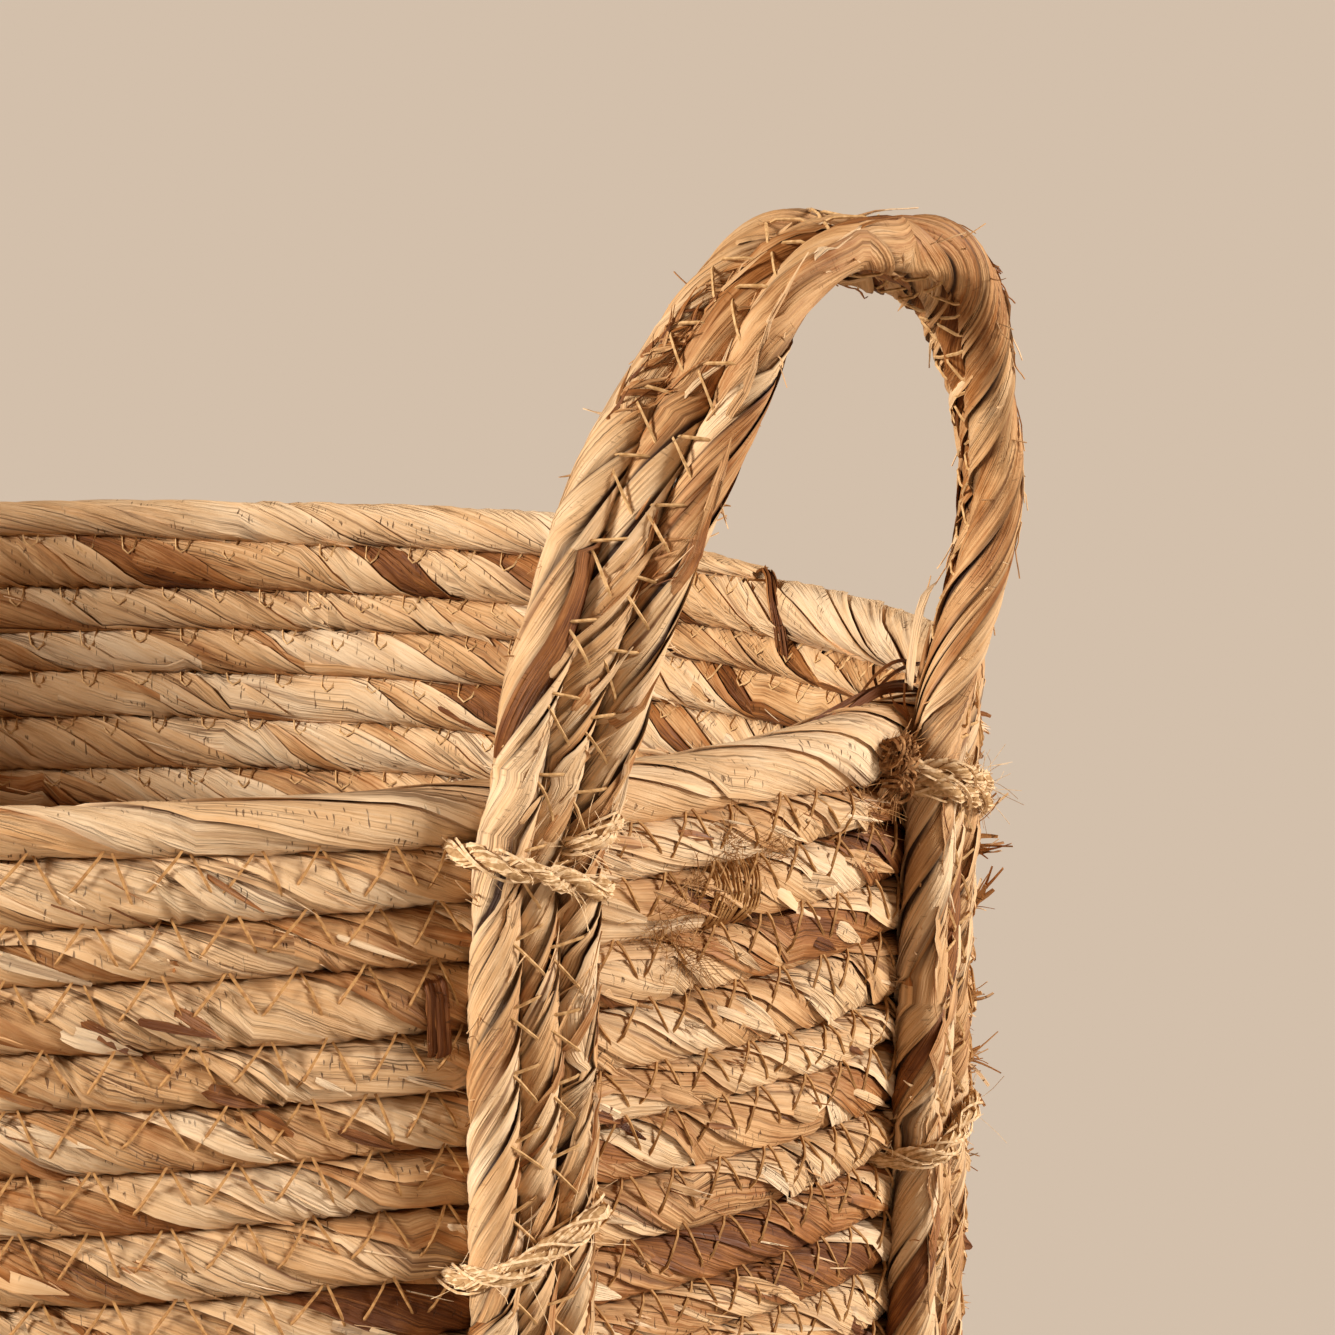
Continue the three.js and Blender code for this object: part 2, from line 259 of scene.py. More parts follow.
# %% The leaf pattern group
def make_leaf_group():
    """Veins, pleats, pits, cracks and blotches of a dry leaf, each from 0 to 1."""
    group = bpy.data.node_groups.new("dry_leaf_pattern", "ShaderNodeTree")
    add_socket(group, "Place", "NodeSocketVector", "INPUT")
    add_socket(group, "Vein Scale", "NodeSocketFloat", "INPUT", 1.0)
    for name in ("Veins", "Pleats", "Pits", "Cracks", "Blotches"):
        add_socket(group, name, "NodeSocketFloat", "OUTPUT")
    inlet = group.nodes.new("NodeGroupInput")
    outlet = group.nodes.new("NodeGroupOutput")
    scaled = group.nodes.new("ShaderNodeVectorMath")
    scaled.operation = "SCALE"
    group.links.new(inlet.outputs["Place"], scaled.inputs[0])
    group.links.new(inlet.outputs["Vein Scale"], scaled.inputs["Scale"])
    place = scaled.outputs[0]
    veins = stretched_noise(group, place, 22, 1900, 4)
    pleats = stretched_noise(group, place, 14, 420, 2)
    blotches = stretched_noise(group, place, 40, 130, 4)
    cells = stretched_noise(group, place, 1500, 420, 0)
    patches = stretched_noise(group, place, 60, 150, 1)
    levels = stretched_noise(group, place, 15, 560, 1)
    wear_and_painted_shade = stretched_noise(group, place, 28, 110, 2)
    from_middle = maths(group, "ABSOLUTE", maths(group, "SUBTRACT", levels, 0.5))
    cracks = maths(group, "MULTIPLY", remap(group, from_middle, 0.030, 0.010), remap(group, wear_and_painted_shade, 0.50, 0.64))
    pits = maths(group, "MULTIPLY", remap(group, cells, 0.70, 0.76), remap(group, patches, 0.52, 0.62))
    group.links.new(remap(group, veins, 0.28, 0.72), outlet.inputs["Veins"])
    group.links.new(remap(group, pleats, 0.32, 0.68), outlet.inputs["Pleats"])
    group.links.new(pits, outlet.inputs["Pits"])
    group.links.new(cracks, outlet.inputs["Cracks"])
    group.links.new(remap(group, blotches, 0.35, 0.7), outlet.inputs["Blotches"])
    return group


leaf_group = make_leaf_group()
print("group outputs", [s.name for s in leaf_group.interface.items_tree if s.in_out == "OUTPUT"])


# %% [markdown]
# ## Leaf materials
# Some leaves dry pale and some brown, and the shade in a gap between two leaves is painted nearly black. A
# texture alone can't know where one leaf ends and the next begins, but the mesh does. So each corner of a
# rope's mesh carries three numbers: how pale its leaf is, how rough, and how much painted shade it gets from
# lying in a gap or against the next course. The material adds the pattern to them, with painted shade in the
# pleats' valleys too. The wall's leaves are old and cracked, and the handles' are smoother.

# %% Leaf materials
STRAW = [   # dry leaf, from its darkest tone to its palest
    (0.0, (0.130, 0.037, 0.006)),
    (0.22, (0.36, 0.138, 0.036)),
    (0.48, (0.64, 0.372, 0.170)),
    (0.75, (0.77, 0.522, 0.295)),
    (1.0, (0.85, 0.645, 0.425)),
]
# Painted shade: the crease colour is laid in the valleys of the pleats.
CREASE_SHADE = (0.17, 0.063, 0.018)
CRACK = (0.16, 0.058, 0.017)
PIT = (0.12, 0.045, 0.013)


def attribute(tree, name):
    node = tree.nodes.new("ShaderNodeAttribute")
    node.attribute_name = name
    return node.outputs["Fac"]


def leaf_masks(tree, vein_scale, pit_share):
    """The pattern's masks on this material, with painted shade in the pleats' valleys where a leaf is rough.
    """
    leaf_map = tree.nodes.new("ShaderNodeUVMap")
    leaf_map.uv_map = "leaf"
    pattern = tree.nodes.new("ShaderNodeGroup")
    pattern.node_tree = leaf_group
    pattern.inputs["Vein Scale"].default_value = vein_scale
    tree.links.new(leaf_map.outputs[0], pattern.inputs["Place"])
    masks = {name: pattern.outputs[name] for name in ("Veins", "Pleats", "Blotches")}
    rough = attribute(tree, "rough")
    # The pleats' valleys get painted shade, more on rough leaves.
    valleys = remap(tree, masks["Pleats"], 0.34, 0.04)
    masks["Pits"] = maths(tree, "MULTIPLY", pattern.outputs["Pits"], pit_share)
    masks["Cracks"] = maths(tree, "MULTIPLY", pattern.outputs["Cracks"], remap(tree, rough, -0.3, 0.6))
    masks["Creases"] = maths(tree, "MULTIPLY", valleys, remap(tree, rough, -0.1, 1.1))
    return masks


def leaf_colour(tree, masks, crack_share, gap_colour):
    """Each leaf's own tone, shifted by its veins and blotches, with its dark marks on it, and painted shade
    in its pleats' valleys and gaps.
    """
    tone = attribute(tree, "tone")
    for name, share in (("Veins", 0.3), ("Blotches", 0.34)):
        shift = maths(tree, "SUBTRACT", masks[name], 0.5)
        tone = maths(tree, "ADD", tone, maths(tree, "MULTIPLY", shift, share))
    colour = ramp(tree, tone, STRAW)
    # Painted shade in the pleats' valleys.
    colour = mix_colour(tree, masks["Creases"], colour, CREASE_SHADE)
    colour = mix_colour(tree, maths(tree, "MULTIPLY", masks["Cracks"], crack_share), colour, CRACK)
    colour = mix_colour(tree, maths(tree, "MULTIPLY", masks["Pits"], 0.8), colour, PIT)
    # Painted shade in the gaps between leaves and where the rope touches the next course.
    return mix_colour(tree, remap(tree, attribute(tree, "gap"), 0.12, 0.8), colour, gap_colour)


def leaf_relief(tree, masks, height):
    """A Bump node's normal: ridges on the veins and pleats, hollows at the pits and cracks."""
    relief = maths(tree, "MULTIPLY", masks["Veins"], 0.35)
    for name, share in (("Pleats", 0.8), ("Pits", -0.9), ("Cracks", -0.7)):
        relief = maths(tree, "ADD", relief, maths(tree, "MULTIPLY", masks[name], share))
    bump = tree.nodes.new("ShaderNodeBump")
    bump.inputs["Strength"].default_value = 1.0
    bump.inputs["Distance"].default_value = height
    tree.links.new(relief, bump.inputs["Height"])
    return bump.outputs[0]


def leaf_material(name, vein_scale, bump_height, pit_share, crack_share, gap_colour):
    """Dry leaf. The piece's own attributes say how pale and how rough each leaf is, and where painted shade
    lies in its gaps.
    """
    material = bpy.data.materials.new(name)
    material.use_nodes = True
    tree = material.node_tree
    shader = tree.nodes["Principled BSDF"]
    masks = leaf_masks(tree, vein_scale, pit_share)
    tree.links.new(leaf_colour(tree, masks, crack_share, gap_colour), shader.inputs["Base Color"])
    tree.links.new(maths(tree, "MULTIPLY_ADD", masks["Veins"], 0.18, 0.48), shader.inputs["Roughness"])
    tree.links.new(leaf_relief(tree, masks, bump_height), shader.inputs["Normal"])
    shader.inputs["Specular IOR Level"].default_value = 0.28
    return material


# The gap colour is the colour of the painted shade in the gaps between leaves.
rope_leaf = leaf_material("rope_leaf", vein_scale=1.0, bump_height=0.9 * MM, pit_share=1.0, crack_share=0.75,
                          gap_colour=(0.12, 0.042, 0.012))
cord_leaf = leaf_material("cord_leaf", vein_scale=1.3, bump_height=0.6 * MM, pit_share=0.3, crack_share=0.6,
                          gap_colour=(0.038, 0.013, 0.004))
print("leaf nodes", len(rope_leaf.node_tree.nodes))

# %% [markdown]
# ## Thread and twine
# Thread and twine are matt and soft. They are far thinner than a leaf, so a plain mix of two browns is
# enough for them, and their strands and fibres are real geometry. Each use of thread has its own colour.

# %% Thread materials
def thread_material(name, colour, dark, roughness):
    """Sewing thread or twine, with light and dark along its strands."""
    material = bpy.data.materials.new(name)
    material.use_nodes = True
    tree = material.node_tree
    shader = tree.nodes["Principled BSDF"]
    place = tree.nodes.new("ShaderNodeTexCoord").outputs["Object"]
    noise = tree.nodes.new("ShaderNodeTexNoise")
    noise.inputs["Scale"].default_value = 900
    noise.inputs["Detail"].default_value = 2
    tree.links.new(place, noise.inputs["Vector"])
    mixed = mix_colour(tree, remap(tree, noise.outputs[0], 0.35, 0.65), dark, colour)
    tree.links.new(mixed, shader.inputs["Base Color"])
    shader.inputs["Roughness"].default_value = roughness
    shader.inputs["Specular IOR Level"].default_value = 0.1
    return material


thread = thread_material("sewing_thread", (0.50, 0.28, 0.11), (0.31, 0.15, 0.052), 0.65)
handle_thread = thread_material("handle_thread", (0.70, 0.46, 0.23), (0.44, 0.25, 0.10), 0.65)
twine = thread_material("jute_twine", (0.56, 0.36, 0.18), (0.34, 0.19, 0.08), 0.9)
twine_fibre = thread_material("jute_fibre", (0.86, 0.66, 0.43), (0.60, 0.39, 0.20), 0.85)
dark_twine = thread_material("dark_jute", (0.46, 0.25, 0.11), (0.22, 0.095, 0.035), 0.9)
print("materials", [m.name for m in bpy.data.materials])

# %% [markdown]
# ## Helpers for rope
# A rope of leaves can't be shaped by hand, strip by strip, over nearly forty metres. It is written as
# a skin instead: rings of corners along the rope's middle line. Each ring is cut into strips, the
# strips turn steadily as the rope is laid, and one edge of each strip rides up over its neighbour.
# A leaf starts as a point, widens, and ends as a point, so strips come and go along the rope.

# %% Random curves and meshes
def smooth_random(x, spacing, rng):
    """A smooth random curve from about -1 to 1 over the values x, with a bend every `spacing`."""
    at = (x - x.min()) / spacing + 1
    knots = rng.uniform(-1, 1, int(at.max()) + 4)
    i = at.astype(int)
    f = at - i
    a, b, c, d = knots[i - 1], knots[i], knots[i + 1], knots[i + 2]
    return 0.5 * (2 * b + (c - a) * f + (2 * a - 5 * b + 4 * c - d) * f**2 + (3 * b - a - 3 * c + d) * f**3)


def smooth_share(values, low, high):
    share = np.clip((values - low) / (high - low), 0, 1)
    return share * share * (3 - 2 * share)


def unit(vectors):
    return vectors / np.linalg.norm(vectors, axis=-1, keepdims=True)


def lengths_along(points):
    """How far along a line each of its points lies."""
    return np.concatenate([[0], np.cumsum(np.linalg.norm(np.diff(points, axis=0), axis=1))])


def at_lengths(wanted, lengths, points):
    """The places on a line at the wanted lengths along it."""
    return np.stack([np.interp(wanted, lengths, points[:, i]) for i in range(3)], axis=-1)


def mesh_object(name, corners, faces, material, smooth_angle=40):
    """An object from an array of corners and a list of face arrays, one array for each face size."""
    mesh = bpy.data.meshes.new(name)
    mesh.vertices.add(len(corners))
    mesh.vertices.foreach_set("co", np.ascontiguousarray(corners, dtype=np.float32).ravel())
    loops = np.concatenate([f.ravel() for f in faces]).astype(np.int32)
    sizes = np.concatenate([np.full(len(f), f.shape[1]) for f in faces])
    starts = np.concatenate([[0], np.cumsum(sizes)[:-1]]).astype(np.int32)
    mesh.loops.add(len(loops))
    mesh.loops.foreach_set("vertex_index", loops)
    mesh.polygons.add(len(sizes))
    mesh.polygons.foreach_set("loop_start", starts)
    mesh.update(calc_edges=True)
    mesh.validate()
    mesh.materials.append(material)
    piece = bpy.data.objects.new(name, mesh)
    bpy.context.scene.collection.objects.link(piece)
    bpy.ops.object.select_all(action="DESELECT")
    piece.select_set(True)
    bpy.context.view_layer.objects.active = piece
    bpy.ops.object.shade_smooth_by_angle(angle=math.radians(smooth_angle))
    return piece


def set_attribute(piece, name, values):
    layer = piece.data.attributes.new(name, "FLOAT", "POINT")
    layer.data.foreach_set("value", np.ascontiguousarray(values, dtype=np.float32).ravel())


def set_face_values(piece, skin):
    """The map, tone and roughness of a skin. They jump from leaf to leaf, so each face has its own."""
    layer = piece.data.uv_layers.new(name="leaf")
    layer.uv.foreach_set("vector", face_values(skin["map"], skin["map_before"]).astype(np.float32).ravel())
    for name in ("tone", "rough"):
        layer = piece.data.attributes.new(name, "FLOAT", "CORNER")
        layer.data.foreach_set("value", face_values(skin[name], skin[name + "_before"]).astype(np.float32))


def set_map(piece, name, places):
    """A UV map from one place for each corner."""
    index = np.empty(len(piece.data.loops), np.int32)
    piece.data.loops.foreach_get("vertex_index", index)
    layer = piece.data.uv_layers.new(name=name)
    layer.uv.foreach_set("vector", np.ascontiguousarray(places[index], dtype=np.float32).ravel())


# %% [markdown]
# ## A laid rope
# The rope is a bundle of long dry leaves, twisted together. Seen close, its skin is about five strips
# that wind round it. Each leaf starts thin, swells and thins out again, and then another takes its
# channel. Separate strips would need millions of faces and would cut through each other. So the rope is
# one closed tube, whose columns of corners follow the leaves and step outwards at each leaf's edge.
# Colour and map jump from leaf to leaf, so they are kept for each face's own corners.

# %% Leaves along a rope
def leaf_channels(s, channels, shortest, longest, brown, rng, dullest=0.4, palest=0.98, narrowest=0.4):
    """Widths, tones and map offsets of the strips round a rope, at the lengths s along it."""
    width = np.empty((len(s), channels))
    tone = np.empty_like(width)
    shift = np.empty_like(width)
    crown = np.empty_like(width)
    for c in range(channels):
        cuts = [s[0] - rng.uniform(0, longest)]
        while cuts[-1] <= s[-1]:
            cuts.append(cuts[-1] + rng.uniform(shortest, longest))
        cuts = np.array(cuts)
        leaf = np.searchsorted(cuts, s, side="right") - 1
        t = (s - cuts[leaf]) / (cuts[leaf + 1] - cuts[leaf])
        girth = rng.uniform(narrowest, 1.5, len(cuts))
        pale = np.where(rng.random(len(cuts)) < brown, rng.uniform(0.05, 0.35, len(cuts)),
                        rng.uniform(dullest, palest, len(cuts)))
        width[:, c] = 0.03 + girth[leaf] * np.sin(np.pi * t) ** 0.6
        tone[:, c] = pale[leaf]
        shift[:, c] = rng.uniform(0, 40, len(cuts))[leaf]
        crown[:, c] = rng.uniform(-0.25, 1.0, len(cuts))[leaf]
    return width / width.sum(axis=1, keepdims=True), tone, shift, crown


KINK_EVERY = 0.07              # metres of leaf from fold to fold
KINK_RUN = 0.014
ACROSS = np.array([0.0, 0.07, 0.38, 0.69, 0.89, 1.0])   # where a strip's corners lie across it


def leaf_kinks(s, rng):
    """Folds along one leaf: each rises slowly to 1 and drops at once."""
    at = np.cumsum(rng.uniform(KINK_EVERY * 0.3, KINK_EVERY * 1.7, int(s[-1] / KINK_EVERY * 1.5) + 2))
    size = rng.uniform(0.1, 1, len(at))
    following = np.minimum(np.searchsorted(at, s), len(at) - 1)
    before = np.clip(1 - (at[following] - s) / KINK_RUN, 0, 1) ** 1.5 * size[following]
    return np.where(s > at[following], 0, before)


def strip_shares(s, width, lay, rng):
    """Where each corner lies round the rope, in turns. The strips wind round it once for each lay."""
    edges = np.cumsum(width, axis=1) - width
    lay = np.broadcast_to(lay, s.shape)
    laid = np.cumsum(np.diff(s, prepend=s[0]) / lay) + 0.05 * smooth_random(s, lay.mean() * 1.3, rng)
    share = edges[:, :, None] + width[:, :, None] * ACROSS
    lip = np.minimum(0.45 * width, 0.016)
    share[:, :, 0] -= lip
    share[:, :, -1] += lip * 0.6
    return laid[:, None, None] + share


def strip_lift(s, width, crown, step, crown_height, kink_height, rng):
    """How far each corner stands out from the round rope: a raised edge, a crown, kinks and folds."""
    channels = width.shape[1]
    full = np.clip(width / 0.09, 0.15, 1)[:, :, None]
    rise = step * (1 - ACROSS) ** 1.3
    hump = np.sin(np.pi * ACROSS)
    kinks = np.stack([leaf_kinks(s, rng) for _ in range(channels)], axis=-1)[:, :, None]
    folds = np.stack([smooth_random(s, 0.012, rng) for _ in range(channels * 2)], axis=-1)
    lift = full * (rise + crown_height * crown[:, :, None] * hump + kink_height * kinks * (0.35 + hump))
    lift[:, :, 2:4] += full * 0.4 * crown_height * folds.reshape(len(s), channels, 2)
    return lift


def strip_gaps(s, sin, touches, shade, faintest, rng):
    """How much painted shade each corner gets, from 0 to 1: in the gaps at the strips' edges, and where the
    next course touches.
    """
    edge = np.stack([smooth_random(s, 0.018, rng) for _ in range(sin.shape[1])], axis=-1)
    edge = np.clip(0.55 + 0.75 * edge, faintest, 1)
    gap = np.zeros_like(sin)
    gap[:, :, -1] = edge
    gap[:, :, -2] = shade * edge
    gap[:, :, 0] = (0.15 + 0.5 * shade) * edge
    # Painted shade where the rope touches the next course or the next cord.
    touching = np.where(np.isin(np.sign(sin), touches), np.abs(sin), 0)
    contact_shade = np.clip((touching - 0.86) / 0.14, 0, 1) ** 1.5
    return np.maximum(gap, contact_shade * 0.75)


def strip_values(s, girth, leaves, ring):
    """Map, tone and roughness of the corners, with the leaves that lie at the given rings."""
    width, tone, shift, _ = leaves
    place = shift[ring][:, :, None]
    along = np.broadcast_to(s[:, None, None] * 1.06 + place, width.shape + ACROSS.shape)
    across = place + width[:, :, None] * girth[:, None, None] * ACROSS
    return {
        "map": np.stack([along, across], axis=-1).reshape(len(s), -1, 2),
        "tone": np.repeat(tone[ring], len(ACROSS), axis=1),
        "rough": np.repeat(np.modf(shift[ring] * 7.3)[0], len(ACROSS), axis=1),
    }


def rope_skin(s, middle, out, up, half_out, half_up, lay, leaves, step, crown_height, rng, squareness=2.3,
              kink_height=0.0, touches=(-1, 1), shade=0.12, faintest=0.1):
    """Corners, map and attributes of a laid rope. `out` x `up` points along the rope."""
    width, _, _, crown = leaves
    angle = TURN * strip_shares(s, width, lay, rng)
    lift = strip_lift(s, width, crown, step, crown_height, kink_height, rng)
    cos, sin = np.cos(angle), np.sin(angle)
    # Painted shade for the gaps between strips and where courses touch.
    gap = strip_gaps(s, sin, touches, shade, faintest, rng)
    power = 2 / squareness
    x = np.sign(cos) * np.abs(cos) ** power * half_out[:, None, None] + cos * lift
    y = np.sign(sin) * np.abs(sin) ** power * half_up[:, None, None] + sin * lift * 0.6
    corners = (middle[:, None, None, :] + x[..., None] * out[:, None, None, :]
               + y[..., None] * up[:, None, None, :])
    rings = np.arange(len(s))
    girth = np.pi * (half_out + half_up)
    skin = strip_values(s, girth, leaves, rings)
    before = strip_values(s, girth, leaves, np.maximum(rings - 1, 0))
    skin.update({key + "_before": value for key, value in before.items()})
    skin["corners"] = corners.reshape(len(s), -1, 3)
    skin["gap"] = gap.reshape(len(s), -1)
    return skin


def along_strip(values):
    """Each corner's neighbour across its strip. The last corner of a strip has only itself."""
    moved = np.roll(values, -1, axis=1)
    last = slice(len(ACROSS) - 1, None, len(ACROSS))
    moved[:, last] = values[:, last]
    return moved


def face_values(values, values_before):
    """Values for the corners of every face. A face keeps to the leaf that its first corner is on."""
    lower, upper = values[:-1], values_before[1:]
    faces = np.stack([lower, along_strip(lower), along_strip(upper), upper], axis=2)
    shape = (-1,) + values.shape[2:]
    return np.concatenate([faces.reshape(shape), values[0][::-1], values[-1]])


def skin_faces(rings, columns):
    """Quads round and along a tube of rings, and a lid on each end."""
    ring = np.arange(rings - 1)[:, None] * columns
    here = np.arange(columns)[None, :]
    after = (here + 1) % columns
    quads = np.stack([ring + here, ring + after, ring + columns + after, ring + columns + here], axis=-1)
    lids = np.stack([np.arange(columns)[::-1], (rings - 1) * columns + np.arange(columns)])
    return [quads.reshape(-1, 4), lids]


def skin_piece(name, skin, first, last, material):
    """One length of a rope's skin, between two of its rings, as an object."""
    part = {key: value[first:last] for key, value in skin.items()}
    rings, columns = part["gap"].shape
    piece = mesh_object(name, part["corners"].reshape(-1, 3), skin_faces(rings, columns), material)
    set_face_values(piece, part)
    set_attribute(piece, "gap", part["gap"])
    return piece


# %% [markdown]
# ## The wall
# The wall's rope climbs as it goes round, one rope's height for each turn. It was sewn by hand, so its
# height wanders. The line where two courses meet is one smooth random curve, and both of them follow
# it: a fat place in one course is a thin place in the next.

# %% The wall's rope
RING_STEP = 4.8 * MM
wall_rng = np.random.default_rng(11)
WALL_START = 0.15               # turns along the wall at which the thinned rope begins
WALL_END = COURSES + 0.0005
WALL_PIECES = 6                 # lengths of rope below the rim's turn
MEAN_RADIUS = 211 * MM          # of the rope's middle line
ROPE_END_DROP = 8.5 * MM        # how far the rim comes down where the rope thins to its end
SEAM_BUMPS = (   # degrees from each handle's middle, courses below the rim, height in mm, width in turns
    (9.3, 0, 2.2, 0.011),
    (9.3, 1, -3.0, 0.016),
    (-43, 1, 2.1, 0.035),
)
tau = np.linspace(WALL_START, WALL_END, int(COURSES * TURN * MEAN_RADIUS / RING_STEP))


def make_seam():
    """The height of the rope's top, as a table over turns from 0 to the rim."""
    turns = np.linspace(0, WALL_END, 4000)
    wander = 2.1 * MM * smooth_random(turns, 0.13, wall_rng)
    wander *= np.clip(turns / 1.5, 0, 1)
    for turn in (0, math.pi):
        for angle, courses, height, width in SEAM_BUMPS:
            at = COURSES - courses - ((math.radians(angle) + turn - END_ANGLE) % TURN) / TURN
            wander += height * MM * np.exp(-((turns - at) / width) ** 2)
    wander -= ROPE_END_DROP * smooth_share(turns, COURSES - 0.06, WALL_END)
    rise = (ROPE * turns + wander) * smooth_share(turns, WALL_START - 0.04, WALL_START + 0.05)
    return turns, ROPE + rise


seam_turns, seam_heights = make_seam()


def course_top(turns):
    return np.interp(turns, seam_turns, seam_heights)


def course_bottom(turns):
    return np.where(turns < 1, ROPE, np.interp(turns - 1, seam_turns, seam_heights))


bulge_table = smooth_random(np.linspace(0, COURSES, 4000), 0.11, wall_rng)


def course_middle_radius(turns):
    """Radius of the rope's middle line. It weaves in and out a little."""
    height = (course_top(turns) + course_bottom(turns)) / 2
    weave = 0.5 * MM * np.interp(turns, np.linspace(0, COURSES, 4000), bulge_table)
    return wall_radius(height) - ROPE / 2 + weave


HALF_OUT = 6.0 * MM


def wall_frame(turns):
    """Middle of the rope and its outward and upward directions, at a number of turns."""
    angle = END_ANGLE - TURN * turns
    out = np.stack([np.cos(angle), np.sin(angle), np.zeros_like(angle)], axis=-1)
    up = np.broadcast_to(np.array([0.0, 0.0, 1.0]), out.shape)
    height = (course_top(turns) + course_bottom(turns)) / 2
    middle = out * course_middle_radius(turns)[:, None]
    middle = middle + up * height[:, None]
    return middle, out, up


def wall_skin(first, last, leaves_of, lay, step, crown, rng):
    """The skin of the wall's rope between two of its rings."""
    turns = tau[first:last]
    middle, out, up = wall_frame(turns)
    s = wall_lengths[first:last]
    half_up = (course_top(turns) - course_bottom(turns)) / 2 + 0.15 * MM
    half_out = HALF_OUT * (1 + 0.06 * smooth_random(s, 0.12, rng))
    half_out = half_out * (1 - 0.55 * smooth_share(turns, COURSES - 0.03, WALL_END))
    touches = (-1,) if leaves_of is rim_leaves else (-1, 1)
    return rope_skin(s, middle, out, up, half_out, half_up, lay, leaves_of(s, rng), step, crown, rng,
                     kink_height=0.4 * MM, touches=touches)


def wall_leaves(s, rng):
    return leaf_channels(s, 5, 0.06, 0.22, 0.16, rng, palest=0.94)


def rim_leaves(s, rng):
    return leaf_channels(s, 5, 0.12, 0.30, 0.0, rng, dullest=0.6)


def basket_piece(piece, slot, *nodes):
    """Makes a piece move with the basket, and hides the solids that it stands for. The slot is not used."""
    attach(piece, "basket")
    if nodes:
        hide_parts(*nodes)
    return piece


def build_wall():
    """Six lengths of wall rope. The rim's turn is laid from fewer, smoother leaves."""
    pieces = []
    rim_ring = np.searchsorted(tau, COURSES - 1)
    skin = wall_skin(0, rim_ring + 1, wall_leaves, 0.084, 1.0 * MM, 0.7 * MM, wall_rng)
    starts = [WALL_START] + [(COURSES - 1) * i / WALL_PIECES for i in range(1, WALL_PIECES + 1)]
    for i, (low, high) in enumerate(zip(starts[:-1], starts[1:])):
        first, last = np.searchsorted(tau, [low, high])
        name = f"wall_rope_{i + 1}"
        piece = skin_piece("laid_" + name, skin, first, min(last + 1, rim_ring + 1), rope_leaf)
        pieces.append(basket_piece(piece, "rope", name))
    skin = wall_skin(rim_ring - 1, len(tau), rim_leaves, 0.11, 1.2 * MM, 0.6 * MM, wall_rng)
    piece = skin_piece("laid_rim_rope", skin, 0, len(tau) - rim_ring + 1, rope_leaf)
    pieces.append(basket_piece(piece, "rope", "rim_rope"))
    return pieces


wall_middle, _, _ = wall_frame(tau)
wall_lengths = lengths_along(wall_middle)
wall_pieces = build_wall()
print("wall rope", round(wall_lengths[-1], 1), "m in", len(wall_pieces), "pieces,",
      sum(len(p.data.polygons) for p in wall_pieces), "faces")


# %% [markdown]
# ## The base
# The same rope, wound flat. Its last turn thins out, which leaves the base round under the wall.

# %% The base's rope
BASE_STEP = 8 * MM           # from ring to ring of the base's rope


def base_frame(turns):
    """Middle of the base's rope, its outward and upward directions, and half its width."""
    outer = np.minimum(turns * BASE_PITCH, BASE_RADIUS)
    inner = np.maximum(turns - 1, 0) * BASE_PITCH
    angle = END_ANGLE - TURN * turns
    out = np.stack([np.cos(angle), np.sin(angle), np.zeros_like(angle)], axis=-1)
    up = np.broadcast_to(np.array([0.0, 0.0, 1.0]), out.shape)
    middle = out * ((outer + inner) / 2)[:, None] + up * 6.1 * MM
    return middle, out, up, (outer - inner) / 2 + 0.1 * MM


def build_base():
    """Two lengths of the rope in a flat spiral. It starts as a curl that closes the middle."""
    rng = np.random.default_rng(23)
    turns = np.arange(0.3, BASE_TURNS + 0.85, 0.004)
    middle = base_frame(turns)[0]
    s = lengths_along(middle)
    near_middle = np.arange(0, 80 * MM, 1.6 * MM)
    even = np.concatenate([near_middle, np.arange(80 * MM, s[-1], BASE_STEP)])
    turns = np.interp(even, s, turns)
    middle, out, up, half_out = base_frame(turns)
    half_up = np.full(len(even), 5.6 * MM)
    leaves = leaf_channels(even, 5, 0.1, 0.3, 0.16, rng)
    skin = rope_skin(even, middle, out, up, half_out, half_up, 0.11, leaves, 0.6 * MM, 0.4 * MM, rng)
    border = np.searchsorted(turns, BASE_TURNS // 2)
    pieces = []
    for name, first, last in (("base_rope_inner", 0, border + 1), ("base_rope_outer", border, len(even))):
        piece = skin_piece("laid_" + name, skin, first, last, rope_leaf)
        pieces.append(basket_piece(piece, "rope", name))
    return pieces


base_pieces = build_base()
print("base faces", sum(len(p.data.polygons) for p in base_pieces))

# %% [markdown]
# ## The handles
# A handle is three leaf cords side by side. They lie flat on the wall as a leg, rise into an arch, turn
# edge-on over the top, and go down the wall as the second leg. Each cord is one unbroken skin from foot
# to foot.

# %% The band's middle line
ARCH_RISE = 91 * MM
ARCH_LEAN = math.radians(11)
PIVOT_GAP = 5 * MM
LEG_OUT = 4.7 * MM             # a leg cord's middle, outside the wall
LEG_PITCH = 8.9 * MM           # from cord to cord on the wall
ARCH_PITCH = 9.3 * MM          # from cord to cord in the arch
ARCH_LINE = [
    (-0.98, 0), (-0.925, 0.12), (-0.855, 0.3), (-0.765, 0.48), (-0.6, 0.69), (-0.435, 0.87), (-0.15, 0.99),
    (0.22, 0.968), (0.49, 0.91), (0.69, 0.8), (0.87, 0.62), (1.02, 0.41), (1.065, 0.2), (1.03, 0),
]


